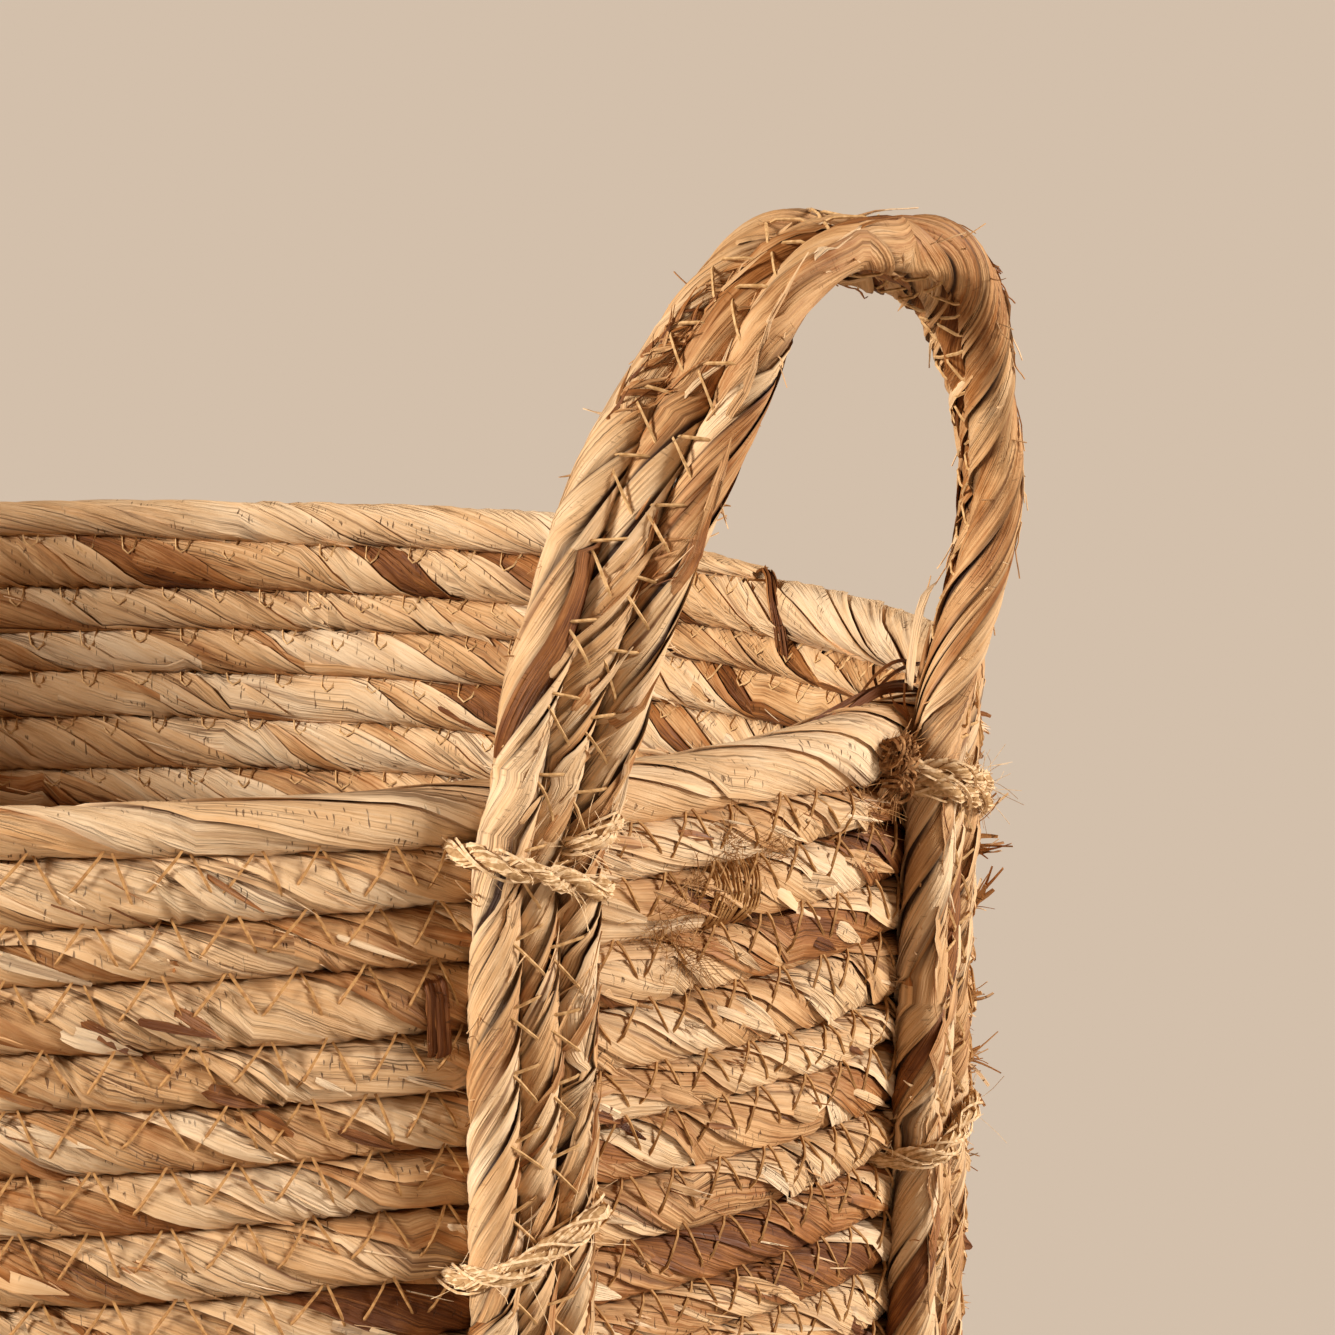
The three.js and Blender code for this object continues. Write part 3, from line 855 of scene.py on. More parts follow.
def leg_angle(top_angle, height):
    """Angle round the wall of a leg at a height."""
    return top_angle + LEG_SHIFT * (1 - smooth_share(height, WALL_TOP - 27 * MM, WALL_TOP - 2 * MM))


def leg_point(top_angle, height):
    radius = wall_radius(height) + LEG_OUT
    angle = leg_angle(top_angle, height)
    return (radius * math.cos(angle), radius * math.sin(angle), height)


def arch_point(across, up):
    """A point of the arch, in a plane that leans out from the rim."""
    top = wall_radius(PIVOT_HEIGHT) + LEG_OUT
    rise = PIVOT_GAP + up * (ARCH_RISE - PIVOT_GAP)
    return (top * math.cos(LEG_ANGLE) + rise * math.tan(ARCH_LEAN),
            across * top * math.sin(LEG_ANGLE), PIVOT_HEIGHT + rise)


def curve_through(points, spacing):
    """A smooth line through points (centripetal Catmull-Rom), with a point every `spacing`."""
    points = np.array(points)
    points = np.vstack([2 * points[0] - points[1], points, 2 * points[-1] - points[-2]])
    knots = np.concatenate([[0], np.cumsum(np.linalg.norm(np.diff(points, axis=0), axis=1) ** 0.5)])
    fine = []
    for i in range(1, len(points) - 2):
        t = np.linspace(knots[i], knots[i + 1], 24, endpoint=False)[:, None]
        k0, k1, k2, k3 = knots[i - 1:i + 3]
        p0, p1, p2, p3 = points[i - 1:i + 3]
        a1 = (k1 - t) / (k1 - k0) * p0 + (t - k0) / (k1 - k0) * p1
        a2 = (k2 - t) / (k2 - k1) * p1 + (t - k1) / (k2 - k1) * p2
        a3 = (k3 - t) / (k3 - k2) * p2 + (t - k2) / (k3 - k2) * p3
        b1 = (k2 - t) / (k2 - k0) * a1 + (t - k0) / (k2 - k0) * a2
        b2 = (k3 - t) / (k3 - k1) * a2 + (t - k1) / (k3 - k1) * a3
        fine.append((k2 - t) / (k2 - k1) * b1 + (t - k1) / (k2 - k1) * b2)
    fine = np.vstack(fine + [points[-2][None]])
    s = lengths_along(fine)
    even = np.linspace(0, s[-1], int(s[-1] / spacing))
    return even, at_lengths(even, s, fine)


BAND_TURNS = [(-0.05, 17), (0.05, 24), (0.14, 38), (0.24, 66), (0.3, 86), (0.36, 100), (0.43, 99), (0.5, 99),
              (0.56, 115), (0.6, 109), (0.65, 82), (0.7, 62), (0.76, 49), (0.84, 45), (0.93, 40), (1.0, 34),
              (1.1, 17)]   # shares of the arch and the band's turn about its own line, in degrees


def keyed(values, keys):
    """Angles in radians, smoothly between keys of (value, degrees)."""
    at, degrees = zip(*keys)
    fine = np.linspace(-0.2, 1.2, 281)
    turns = np.interp(fine, at, degrees)
    soft = np.convolve(np.pad(turns, 8, mode="edge"), np.hanning(17) / np.hanning(17).sum(), mode="valid")
    return np.radians(np.interp(values, fine, soft))


def make_band():
    """The middle line of the handle on +X, from foot to foot, with the band's own directions."""
    heights = list(np.arange(LEG_FOOT, WALL_TOP - 40 * MM, 48 * MM))
    heights += [WALL_TOP - depth * MM for depth in (36, 27, 19, 11)]
    up_leg = [leg_point(-LEG_ANGLE, h) for h in heights]
    down_leg = [leg_point(LEG_ANGLE, h) for h in reversed(heights)]
    arch = [arch_point(*share) for share in ARCH_LINE]
    s, middle = curve_through(up_leg + arch + down_leg, 1.9 * MM)
    line = unit(np.gradient(middle, axis=0))
    above = np.flatnonzero(middle[:, 2] > PIVOT_HEIGHT)
    share = (s - s[above[0]]) / (s[above[-1]] - s[above[0]])
    turn = keyed(share, BAND_TURNS)
    outward = np.array([math.cos(ARCH_LEAN), 0, -math.sin(ARCH_LEAN)])
    inward = unit(np.cross(line, outward))
    across = inward * np.cos(turn)[:, None] + outward * np.sin(turn)[:, None]
    across = unit(across - line * (across * line).sum(axis=1, keepdims=True))
    free = smooth_share(middle[:, 2], WALL_TOP - 24 * MM, WALL_TOP + 4 * MM)
    return {"s": s, "middle": middle, "line": line, "across": across, "face": np.cross(across, line),
            "free": free, "pitch": LEG_PITCH + (ARCH_PITCH - LEG_PITCH) * free}


band = make_band()
print("band", round(band["s"][-1], 3), "m from foot to foot")

# %% [markdown]
# Each cord is laid from leaves like the wall's rope, but it is thinner and twisted harder. The three of
# them follow one band line, which gives their places side by side and the way that the band faces. The
# leaves near the arch's top are darker: painted shade, which tones down the top where it faces the lamps.

# %% The cords of the handles
LEG_CORD = 4.4 * MM            # radius of a cord where it is sewn to the wall
ARCH_CORD = 5.0 * MM           # radius of a cord in the arch
# Painted shade at the arch's top, which faces the lamps: shares of a cord and how much darker.
ARCH_TOP_SHADE = ((0.40, 0), (0.46, 0.18), (0.51, 0.27), (0.63, 0.12), (0.66, 0))   # shares of a cord, how dark


def cord_line(offset, rng):
    """One cord's middle line and radius. The cords lie closer together on the wall than in the arch."""
    s = band["s"]
    free = band["free"]
    aside = offset * band["pitch"] + 0.35 * MM * smooth_random(s, 0.045, rng)
    if offset == 1:
        from_rim = (band["middle"][:, 2] - WALL_TOP - 4 * MM) / (12 * MM)
        aside = aside + np.where(s < s[-1] / 2, 2.6 * MM * np.exp(-from_rim**2), 0)
    proud = 0.6 * MM * smooth_random(s, 0.035, rng) - (0.6 * MM * (1 - free) if offset == 0 else 0)
    middle = band["middle"] + band["across"] * aside[:, None] + band["face"] * proud[:, None]
    radius = (LEG_CORD + (ARCH_CORD - LEG_CORD) * free) * (1 + 0.07 * smooth_random(s, 0.03, rng))
    lay = 0.052 + 0.026 * free
    return middle, radius, lay


def half_turned(vectors, side):
    """The handle on -X is the handle on +X turned by half a turn."""
    return vectors * np.array([-1, -1, 1]) if side == "left" else vectors


def cord_nodes(side, k):
    """The solids that one cord stands for. The second leg's cords count the other way."""
    return [f"{side}_first_leg_cord_{k}", f"{side}_arch_cord_{k}", f"{side}_second_leg_cord_{4 - k}"]


def bend_with_handle(piece):
    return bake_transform(piece)


def build_cord(side, k):
    rng = np.random.default_rng([41, k, side == "left"])
    middle, radius, lay = cord_line(k - 2, rng)
    s = lengths_along(middle)
    leaves = leaf_channels(s, 5, 0.06, 0.2, 0.06, rng, palest=0.88, narrowest=0.15)
    # Painted shade: the leaves near the arch's top are made darker.
    wear_and_painted_shade = np.interp(s / s[-1], *zip(*ARCH_TOP_SHADE))
    leaves = (leaves[0], leaves[1] - wear_and_painted_shade[:, None], *leaves[2:])
    # The cords get darker painted shade in their gaps than the wall does.
    skin = rope_skin(s, half_turned(middle, side), half_turned(band["face"], side),
                     half_turned(band["across"], side), radius, radius,
                     lay, leaves, 1.0 * MM, 0.5 * MM, rng, squareness=2.0, shade=1.1, faintest=0.4,
                     touches={1: (1,), 2: (-1, 1), 3: (-1,)}[k])
    piece = skin_piece(f"{side}_handle_cord_{k}", skin, 0, len(s), cord_leaf)
    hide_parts(*cord_nodes(side, k))
    return bend_with_handle(piece)


cords = {side: [build_cord(side, k) for k in (1, 2, 3)] for side in ("right", "left")}
print("faces in one cord", len(cords["right"][0].data.polygons))

# %% [markdown]
# ## Sewing
# A single thread zigzags over each seam. It goes in through one course, comes out, crosses the seam and
# goes in again, so that pairs of slanting stitches meet at their lower ends. A stitch is pulled tight:
# it touches only the highest leaves under it. Each one is laid by casting rays at the rope from outside
# and stretching the thread over what they hit.

# %% Rays and tight strings
def trees_of(pieces):
    graph = bpy.context.evaluated_depsgraph_get()
    return [BVHTree.FromObject(piece, graph) for piece in pieces]


def reach(trees, start, direction, furthest):
    """How far a ray goes before it meets one of the pieces, or `furthest`."""
    origin, aim = Vector(start), Vector(direction)
    found = furthest
    for tree in trees:
        distance = tree.ray_cast(origin, aim, found)[3]
        if distance is not None:
            found = distance
    return found


def stretched(places, heights):
    """The heights of a tight string over bumps: the upper edge of what it covers."""
    hull = []
    for place, height in zip(places, heights):
        while len(hull) > 1:
            (x0, y0), (x1, y1) = hull[-2:]
            if (y1 - y0) * (place - x0) > (height - y0) * (x1 - x0):
                break
            hull.pop()
        hull.append((place, height))
    return np.interp(places, [x for x, _ in hull], [y for _, y in hull])


def strands(name, paths, wide, thick, across, sides, material, tones=None):
    """Many thin round or flat strands in one mesh. `paths` has one row of points for each strand,
    and `across` gives the direction of its width. `wide` and `thick` are half sizes."""
    paths = np.asarray(paths, float)
    count, length = paths.shape[:2]
    line = unit(np.gradient(paths, axis=1))
    across = np.broadcast_to(np.asarray(across, float), paths.shape)
    across = unit(across - line * (across * line).sum(axis=-1, keepdims=True))
    face = np.cross(line, across)
    wide = np.broadcast_to(wide, (count, length))[..., None, None]
    thick = np.broadcast_to(thick, (count, length))[..., None, None]
    turn = TURN * np.arange(sides) / sides
    ring = (np.cos(turn)[:, None] * across[:, :, None, :] * wide
            + np.sin(turn)[:, None] * face[:, :, None, :] * thick)
    corners = paths[:, :, None, :] + ring
    here = np.arange(sides)
    after = (here + 1) % sides
    step = np.arange(length - 1)[:, None] * sides
    quads = np.stack([step + here, step + after, step + sides + after, step + sides + here], axis=-1)
    base = (np.arange(count) * length * sides)[:, None]
    quads = (quads.reshape(1, -1) + base).reshape(-1, 4)
    lids = np.stack([here[::-1], (length - 1) * sides + here])
    lids = (lids.reshape(1, -1) + base).reshape(-1, sides)
    piece = mesh_object(name, corners.reshape(-1, 3), [quads, lids], material, 60)
    along = np.cumsum(np.linalg.norm(np.diff(paths, axis=1, prepend=paths[:, :1]), axis=-1), axis=1)
    along = along + np.arange(count)[:, None] * 0.37
    around = np.broadcast_to(np.cos(turn), (count, length, sides)) * wide[..., 0]
    places = np.stack([np.broadcast_to(along[..., None], around.shape), around + along[:, :1, None]], axis=-1)
    set_map(piece, "leaf", places.reshape(-1, 2))
    tones = np.full(count, 0.6) if tones is None else np.asarray(tones)
    set_attribute(piece, "tone", np.broadcast_to(tones[:, None, None], around.shape))
    set_attribute(piece, "rough", np.full(around.size, 0.5))
    set_attribute(piece, "gap", np.zeros(around.size))
    return piece


wall_trees = trees_of(wall_pieces)
print("ray from outside meets the wall after, mm",
      round(reach(wall_trees, (0, 0.25, 0.2), (0, -1, 0), 0.1) / MM, 1))


# %% [markdown]
# A thread under tension lies on the high places of the rope and bridges the hollows. A thread pushed
# along by a fixed depth would float or sink. So rays are cast at the rope to find its skin under the
# thread, and the string is then pulled tight over what they found.

# %% Laying a thread on the rope
STITCH = 13.9 * MM             # from one pair of stitches to the next
THREAD = 0.34 * MM             # the thread's radius
FAR = 14 * MM                  # how far off the surface each ray starts
UP = np.array([0.0, 0.0, 1.0])
NEARLY_UP = UP + 0.01          # leans a little, so that no thread runs exactly along it
sew_rng = np.random.default_rng(57)


def radial(angles):
    """Directions straight out from the basket's axis."""
    angles = np.asarray(angles, float)
    return np.stack([np.cos(angles), np.sin(angles), np.zeros_like(angles)], axis=-1)


def wall_angle(turns):
    return END_ANGLE - TURN * np.asarray(turns, float)


def wall_places(angles, heights, outside=True):
    """Points of the plain wall, and the directions that point away from it."""
    radii = wall_radius(heights) - (0 if outside else ROPE)
    normals = radial(angles)
    places = normals * np.asarray(radii)[:, None] + UP * np.asarray(heights)[:, None]
    return places, normals if outside else -normals


def laid_on(places, normals, trees, tight=True, lift=0.7 * THREAD, sink=(1.6 * THREAD, 1.6 * THREAD)):
    """A line pushed out along its normals until it lies on the pieces. A tight line spans the hollows.
    Its two ends are sunk into the surface."""
    heights = np.array([FAR - reach(trees, p + n * FAR, -n, 2 * FAR) for p, n in zip(places, normals)])
    if tight:
        heights = stretched(np.linspace(0, 1, len(heights)), heights)
    heights = heights + lift
    heights[0] -= lift + sink[0]
    heights[-1] -= lift + sink[1]
    return places + normals * heights[:, None]


def thread_piece(name, paths, material=None, radius=THREAD, sides=4):
    """Round threads as one mesh that moves with the basket."""
    piece = strands(name, paths, radius, radius, NEARLY_UP, sides, material or thread)
    return basket_piece(piece, "twine")


# %% [markdown]
# The sewing crosses each seam between two courses, up on one slant and down on the other. Inside the
# basket only short loops of it show. Hand stitches are never alike, so each one gets its own place,
# height and slant from the random numbers, and its thread passes into the rope at both ends.

# %% Stitches over the wall's seams
def wall_stitch(start, end, points=6):
    """One stitch between two (turns, height) places, stretched over the rope."""
    angles = wall_angle(np.linspace(start[0], end[0], points))
    places, normals = wall_places(angles, np.linspace(start[1], end[1], points))
    return laid_on(places, normals, wall_trees)


def wall_bight(turns, seam, points=5):
    """The small loop that a stitch leaves inside, hanging below the seam."""
    bend = np.linspace(0, np.pi, points)
    width = sew_rng.uniform(3.6, 6.0) * MM
    depth = sew_rng.uniform(3.0, 5.0) * MM
    angles = wall_angle(turns + width * (1 - np.cos(bend)) / 2 / (TURN * RIM_RADIUS))
    places, normals = wall_places(angles, seam + 0.6 * MM - depth * np.sin(bend), outside=False)
    return laid_on(places, normals, wall_trees, tight=False)


def seam_stitches(first_turn, last_turn):
    """The zigzag that sews each course to the one above, between two turns of the lower course."""
    stitches, bights = [], []
    turns = first_turn
    while turns < last_turn:
        step = STITCH / (TURN * wall_radius(ROPE * turns)) * sew_rng.uniform(0.93, 1.07)
        seam = float(course_top(turns))
        low = seam - sew_rng.uniform(6.2, 9.0, 2) * MM
        high = seam + sew_rng.uniform(0.6, 2.2, 2) * MM
        jitter = sew_rng.uniform(-0.05, 0.05, 4)
        right_top, right_low, left_low, left_top = turns + step * (np.array([0, 0.51, 0.61, 0.92]) + jitter)
        stitches.append(wall_stitch((right_top, high[0]), (right_low, low[0])))
        stitches.append(wall_stitch((left_low, low[1]), (left_top, high[1])))
        bights.append(wall_bight(turns, seam))
        turns += step
    return stitches, bights


def build_wall_sewing():
    pieces = []
    for i in range(WALL_PIECES):
        first = max(1.0, (COURSES - 1) * i / WALL_PIECES)
        stitches, bights = seam_stitches(first, (COURSES - 1) * (i + 1) / WALL_PIECES)
        pieces.append(thread_piece(f"wall_sewing_{i + 1}", stitches))
        pieces.append(thread_piece(f"wall_bights_{i + 1}", bights, handle_thread, 0.8 * THREAD, 3))
    return pieces


wall_sewing = build_wall_sewing()
print("stitch faces", sum(len(p.data.polygons) for p in wall_sewing))


# %% [markdown]
# The base's courses lie side by side, so their stitches cross the seams flat, above and below.

# %% Stitches of the base
def base_stitch(turns, offsets, under, points=4):
    """One stitch across a seam of the base. Offsets are from the seam, outwards."""
    spread = np.linspace(turns[0], turns[1], points)
    radii = spread * BASE_PITCH + np.linspace(offsets[0], offsets[1], points)
    places = radial(wall_angle(spread)) * radii[:, None] + UP * (1 * MM if under else ROPE - 1 * MM)
    normals = np.broadcast_to(-UP if under else UP, places.shape)
    return laid_on(places, normals, base_trees)


def base_stitches(under):
    paths = []
    turns = 1.8
    while turns < BASE_TURNS - 1:
        step = STITCH / (TURN * turns * BASE_PITCH)
        reach_out, reach_in = sew_rng.uniform(2.6, 4.4, 2) * MM
        paths.append(base_stitch((turns, turns + 0.5 * step), (reach_out, -reach_in), under))
        paths.append(base_stitch((turns + 0.6 * step, turns + 0.95 * step), (-reach_in, reach_out), under))
        turns += step * sew_rng.uniform(0.92, 1.08)
    return paths


base_trees = trees_of(base_pieces)
for place, under in (("under", True), ("upper", False)):
    thread_piece(f"base_sewing_{place}", base_stitches(under), sides=3)
print("base is sewn on both faces")

# %% [markdown]
# ## Sewing on the handles
# The three cords of a handle are sewn side by side. A zigzag runs along each of the two seams, with a
# long slanting stitch and then a short one straight across. Above the rim the sewing shows on both faces.

# %% Stitches along the handles
BAND_STITCH = 14.4 * MM
cord_trees = {side: trees_of(cords[side]) for side in cords}


def band_at(s):
    """Middle line, direction across and direction out of the face, at lengths s along the band."""
    keys = ("middle", "across", "face")
    return [at_lengths(s, band["s"], band[key]) for key in keys]


def band_stitch(side, face_sign, start, end, points=6):
    """One stitch between two (length, offset) places of the band."""
    middle, across, face = band_at(np.linspace(start[0], end[0], points))
    places = half_turned(middle + across * np.linspace(start[1], end[1], points)[:, None], side)
    normals = half_turned(face, side) * face_sign
    return laid_on(places, normals, cord_trees[side])


def band_seam(side, face_sign, seam, rng):
    paths = []
    s = band["s"][0] + 5 * MM
    while s < band["s"][-1] - 14 * MM:
        step = BAND_STITCH * rng.uniform(0.85, 1.12)
        ends = s + step * (np.array([0, 0.5, 0.6, 0.74]) + rng.uniform(-0.07, 0.07, 4))
        half = rng.uniform(2.9, 4.4, 4) * MM
        middle = seam * np.interp(s, band["s"], band["pitch"]) / 2
        height = np.interp(s, band["s"], band["middle"][:, 2])
        if face_sign > 0 or height > PIVOT_HEIGHT + 3 * MM:
            for a, b, sign in ((0, 1, 1), (2, 3, -1)):
                start = (ends[a], middle + sign * half[a])
                end = (ends[b], middle - sign * half[b])
                paths.append(band_stitch(side, face_sign, start, end))
        s += step
    return paths


def build_band_sewing(side):
    rng = np.random.default_rng([61, side == "left"])
    pieces = []
    for face_name, face_sign in (("outer", 1), ("inner", -1)):
        paths = band_seam(side, face_sign, -1, rng) + band_seam(side, face_sign, 1, rng)
        name = f"{side}_handle_sewing_{face_name}"
        piece = strands(name, paths, THREAD, THREAD, NEARLY_UP, 4, handle_thread)
        pieces.append(bend_with_handle(piece))
    return pieces


band_sewing = [piece for side in cords for piece in build_band_sewing(side)]
print("handle stitch faces", sum(len(p.data.polygons) for p in band_sewing))

# %% [markdown]
# ## Twine ties
# Each leg is tied to the wall in five places with soft two-strand twine. A tie goes in through the seam
# between two courses, over the three cords, in again, and back along the inside of the wall. It is laid
# in the same way as the thread, then two strands are wound round its line. Loose fibres stand off it.

# %% Twine
TIE_ROWS = (1, 7, 13, 19, 25)  # courses below the rim at which the ties go through
TIE_HALF = 16.8 * MM           # from a leg's middle to where a tie goes through the wall
PLY = 1.22 * MM                # radius of one strand of the twine
PLY_TURN = 19 * MM             # length in which the strands go round once
FIBRE_TURN = 13 * MM           # length in which a fibre goes round its strand
TWINE_POINTS = 56


def turns_below(angle, courses):
    """Turns along the rope at an angle, a number of courses below the rim."""
    return COURSES - ((angle - END_ANGLE) % TURN) / TURN - courses


def seam_height(angle, courses):
    return float(course_top(turns_below(angle, courses)))


def tie_ends(top_angle, row):
    """The two (angle, height) places where a tie goes through the wall."""
    courses = TIE_ROWS[row]
    height = seam_height(top_angle, courses + 0.5)
    leg = leg_angle(top_angle, height)
    aside = TIE_HALF / wall_radius(height)
    before, after = (courses, courses + 1) if row % 2 == 0 else (courses + 1, courses)
    return (leg - aside, seam_height(leg - aside, before)), (leg + aside, seam_height(leg + aside, after))


def resampled(points, count):
    s, fine = curve_through([tuple(p) for p in points], 1 * MM)
    even = np.linspace(0, s[-1], count)
    return even, at_lengths(even, s, fine)


def tie_line(side, start, end):
    """The closed middle line of a tie: over the cords, through the wall and back inside it."""
    angles = np.linspace(start[0], end[0], 15)
    heights = np.linspace(start[1], end[1], 15)
    places, normals = wall_places(angles, heights)
    over = laid_on(places, normals, wall_trees + cord_trees[side], lift=1.7 * MM, sink=(5 * MM, 5 * MM))
    places, normals = wall_places(angles[::-2], heights[::-2], outside=False)
    back = laid_on(places, normals, wall_trees, lift=1.2 * MM, sink=(5 * MM, 5 * MM))
    return np.vstack([over, back, over[:1]])


def wound(s, middle, turn, deep, wide, reference=UP):
    """A path wound round a line. `deep` and `wide` are its distances from the line."""
    line = unit(np.gradient(middle, axis=0))
    first = unit(np.cross(line, reference))
    second = np.cross(line, first)
    return middle + first * (deep * np.cos(turn))[:, None] + second * (wide * np.sin(turn))[:, None]


def plies(s, middle, count=2, radius=1.08 * MM, reference=UP):
    """The cores of a twine's strands. They lie a little flat."""
    turns = [TURN * (s / PLY_TURN + i / count) for i in range(count)]
    return [wound(s, middle, turn, 0.75 * radius, 1.1 * radius, reference) for turn in turns]


def twine_fibres(s, middle, rng, count=11, stray=5, reference=UP):
    """The fibres of a twine: some are wound round each strand, and some wander along them all."""
    paths = []
    for strand in plies(s, middle, reference=reference):
        for i in range(count):
            turn = -TURN * (s / FIBRE_TURN + i / count) + 0.9 * smooth_random(s, 0.012, rng)
            off = PLY * (0.95 + 0.3 * smooth_random(s, 0.007, rng))
            paths.append(wound(s, strand, turn, off, off, reference))
    for i in range(stray):
        turn = TURN * (s / (PLY_TURN * 1.6) + i / stray) + smooth_random(s, 0.02, rng)
        off = PLY * (1.9 + 0.8 * smooth_random(s, 0.011, rng))
        paths.append(wound(s, middle, turn, 0.75 * off, off, reference))
    return paths


def hair_paths(starts, directions, lengths, curl, rng, points=5):
    """Thin curved hairs, one for each start."""
    share = np.linspace(0, 1, points)[None, :, None]
    bend = unit(rng.normal(size=starts.shape))[:, None]
    twist = unit(rng.normal(size=starts.shape))[:, None]
    lengths = np.broadcast_to(lengths, len(starts))[:, None, None]
    curve = directions[:, None] * share + curl * bend * share**2 + 0.5 * curl * twist * share**3
    return starts[:, None] + lengths * curve


def fuzz_along(line, count, shortest, longest, rng):
    """Hairs that stand off a line of twine."""
    at = rng.integers(2, len(line) - 2, count)
    direction = unit(rng.normal(size=(count, 3)) + 0.8 * unit(line[at + 1] - line[at]))
    return hair_paths(line[at], direction, rng.uniform(shortest, longest, count), 0.7, rng)


def leg_tops(side):
    """Names and angles of a handle's two legs."""
    turn = math.pi if side == "left" else 0
    return ("first", turn - LEG_ANGLE), ("second", turn + LEG_ANGLE)


def build_tie(name, side, top_angle, row, rng):
    """One tie of two-strand twine, with the paths of its fibres and of its fuzz."""
    s, line = resampled(tie_line(side, *tie_ends(top_angle, row)), TWINE_POINTS)
    piece = strands(name + "_twine", plies(s, line), PLY, PLY, NEARLY_UP, 7, twine)
    basket_piece(piece, "twine", name)
    fibres = twine_fibres(s, line, rng)
    return line, fibres, fuzz_along(line, 115, 2.5 * MM, 9 * MM, rng)


def build_ties():
    rng = np.random.default_rng(71)
    lines, fuzz = {}, []
    for side in cords:
        side_fibres = []
        for leg, top_angle in leg_tops(side):
            for row in range(len(TIE_ROWS)):
                name = f"{side}_{leg}_tie_{row + 1}"
                lines[name], fibres, hairs = build_tie(name, side, top_angle, row, rng)
                side_fibres += fibres
                fuzz.append(hairs)
        thread_piece(side + "_tie_fibres", side_fibres, twine_fibre, 0.31 * MM, 3)
    thread_piece("tie_fuzz", np.concatenate(fuzz), twine_fibre, 0.065 * MM, 3)
    return lines


tie_lines = build_ties()
print("ties", len(tie_lines))

# %% [markdown]
# ## Torn leaves and loose fibres
# The rope's leaves are dry and brittle, and were twisted by machine. Their ends tear, lift and fray, so
# the wall is covered in loose strips and short fibres. Each is a flat strip laid on the rope along the
# twist, with one end tucked in and the other end free. They are scattered evenly over the whole basket.

# %% Loose strips on the wall
loose_rng = np.random.default_rng(83)
STRIP_LIFT = 0.25 * MM                 # how far a strip's middle lies off the rope
STRIP_SINK = (1.0 * MM, -0.25 * MM)    # how far its tucked end sinks in, and its free end stands off


def strip_line(angle, height, length, slope, outside, lift, points):
    """The middle line of a strip that lies down to the right, and the directions across it."""
    share = np.linspace(0, 1, points)
    aside = length * share * math.cos(slope) / wall_radius(height) * (1 if outside else -1)
    places, normals = wall_places(angle + aside, height - length * share * math.sin(slope), outside)
    path = laid_on(places, normals, wall_trees, tight=False, lift=STRIP_LIFT, sink=STRIP_SINK)
    path = path + normals * (lift * share**2.5)[:, None]
    return path, np.cross(normals, unit(np.gradient(path, axis=0)))


def strip_width(points, torn):
    """Half widths along a strip, as shares of its widest. It starts narrow, and ends torn or pointed."""
    share = np.linspace(0, 1, points)
    body = 0.25 + 0.75 * np.sin(np.pi * np.clip(share * 1.1, 0, 1)) ** 0.7
    return body * (1 - share) ** 0.35 + torn * share**3


def rolled(across, line, roll):
    """The direction across a strip, turned about the strip's line, more towards its free end."""
    face = np.cross(line, across)
    turn = (roll * np.linspace(0, 1, len(line)) ** 1.5)[:, None]
    return across * np.cos(turn) + face * np.sin(turn)


def scatter_strips(name, count, lengths, widths, lifts, thickness, points, sides, outside, bunch=1):
    """Loose strips all over one face of the wall, alone or in bunches."""
    paths, across, wide = [], [], []
    for i in range(count):
        if i % bunch == 0:
            site = loose_rng.uniform(1.0, COURSES - 1.02)
            level = loose_rng.uniform(0.35, 0.9)
        turns = site + (loose_rng.uniform(0, 5 * MM) / (TURN * RIM_RADIUS) if bunch > 1 else 0)
        top, bottom = float(course_top(turns)), float(course_bottom(turns))
        height = bottom + (top - bottom) * level + (loose_rng.uniform(-1, 1) * MM if bunch > 1 else 0)
        length = min(loose_rng.uniform(*lengths), (height - bottom) * 3.2)
        slope = math.radians(loose_rng.uniform(12, 36))
        angle = float(wall_angle(turns))
        path, side = strip_line(angle, height, length, slope, outside, loose_rng.uniform(*lifts), points)
        line = unit(np.gradient(path, axis=0))
        paths.append(path)
        across.append(rolled(side, line, loose_rng.uniform(-0.5, 0.9)))
        wide.append(strip_width(points, loose_rng.uniform(0, 0.25)) * loose_rng.uniform(*widths))
    tones = np.where(loose_rng.random(count) < 0.25, loose_rng.uniform(0.02, 0.3, count),
                     loose_rng.uniform(0.45, 1.05, count))
    piece = strands(name, paths, np.array(wide), thickness, np.array(across), sides, rope_leaf, tones)
    return basket_piece(piece, "rope")


loose = [
    scatter_strips("torn_leaves_outside", 1500, (8 * MM, 28 * MM), (0.5 * MM, 2.8 * MM), (0, 1.6 * MM),
                   0.16 * MM, 8, 4, True),
    scatter_strips("torn_leaves_inside", 500, (8 * MM, 26 * MM), (0.8 * MM, 2.2 * MM), (0, 1.2 * MM),
                   0.16 * MM, 7, 4, False),
    scatter_strips("loose_fibres_outside", 1600, (4 * MM, 18 * MM), (0.12 * MM, 0.34 * MM), (0, 2.2 * MM),
                   0.09 * MM, 6, 3, True),
    scatter_strips("frayed_edges_outside", 2400, (2.5 * MM, 9 * MM), (0.12 * MM, 0.5 * MM),
                   (0.2 * MM, 2.6 * MM), 0.09 * MM, 5, 3, True, bunch=8),
    scatter_strips("loose_fibres_inside", 600, (4 * MM, 16 * MM), (0.12 * MM, 0.30 * MM), (0, 1.5 * MM),
                   0.09 * MM, 6, 3, False),
]
print("loose pieces' faces", sum(len(p.data.polygons) for p in loose))


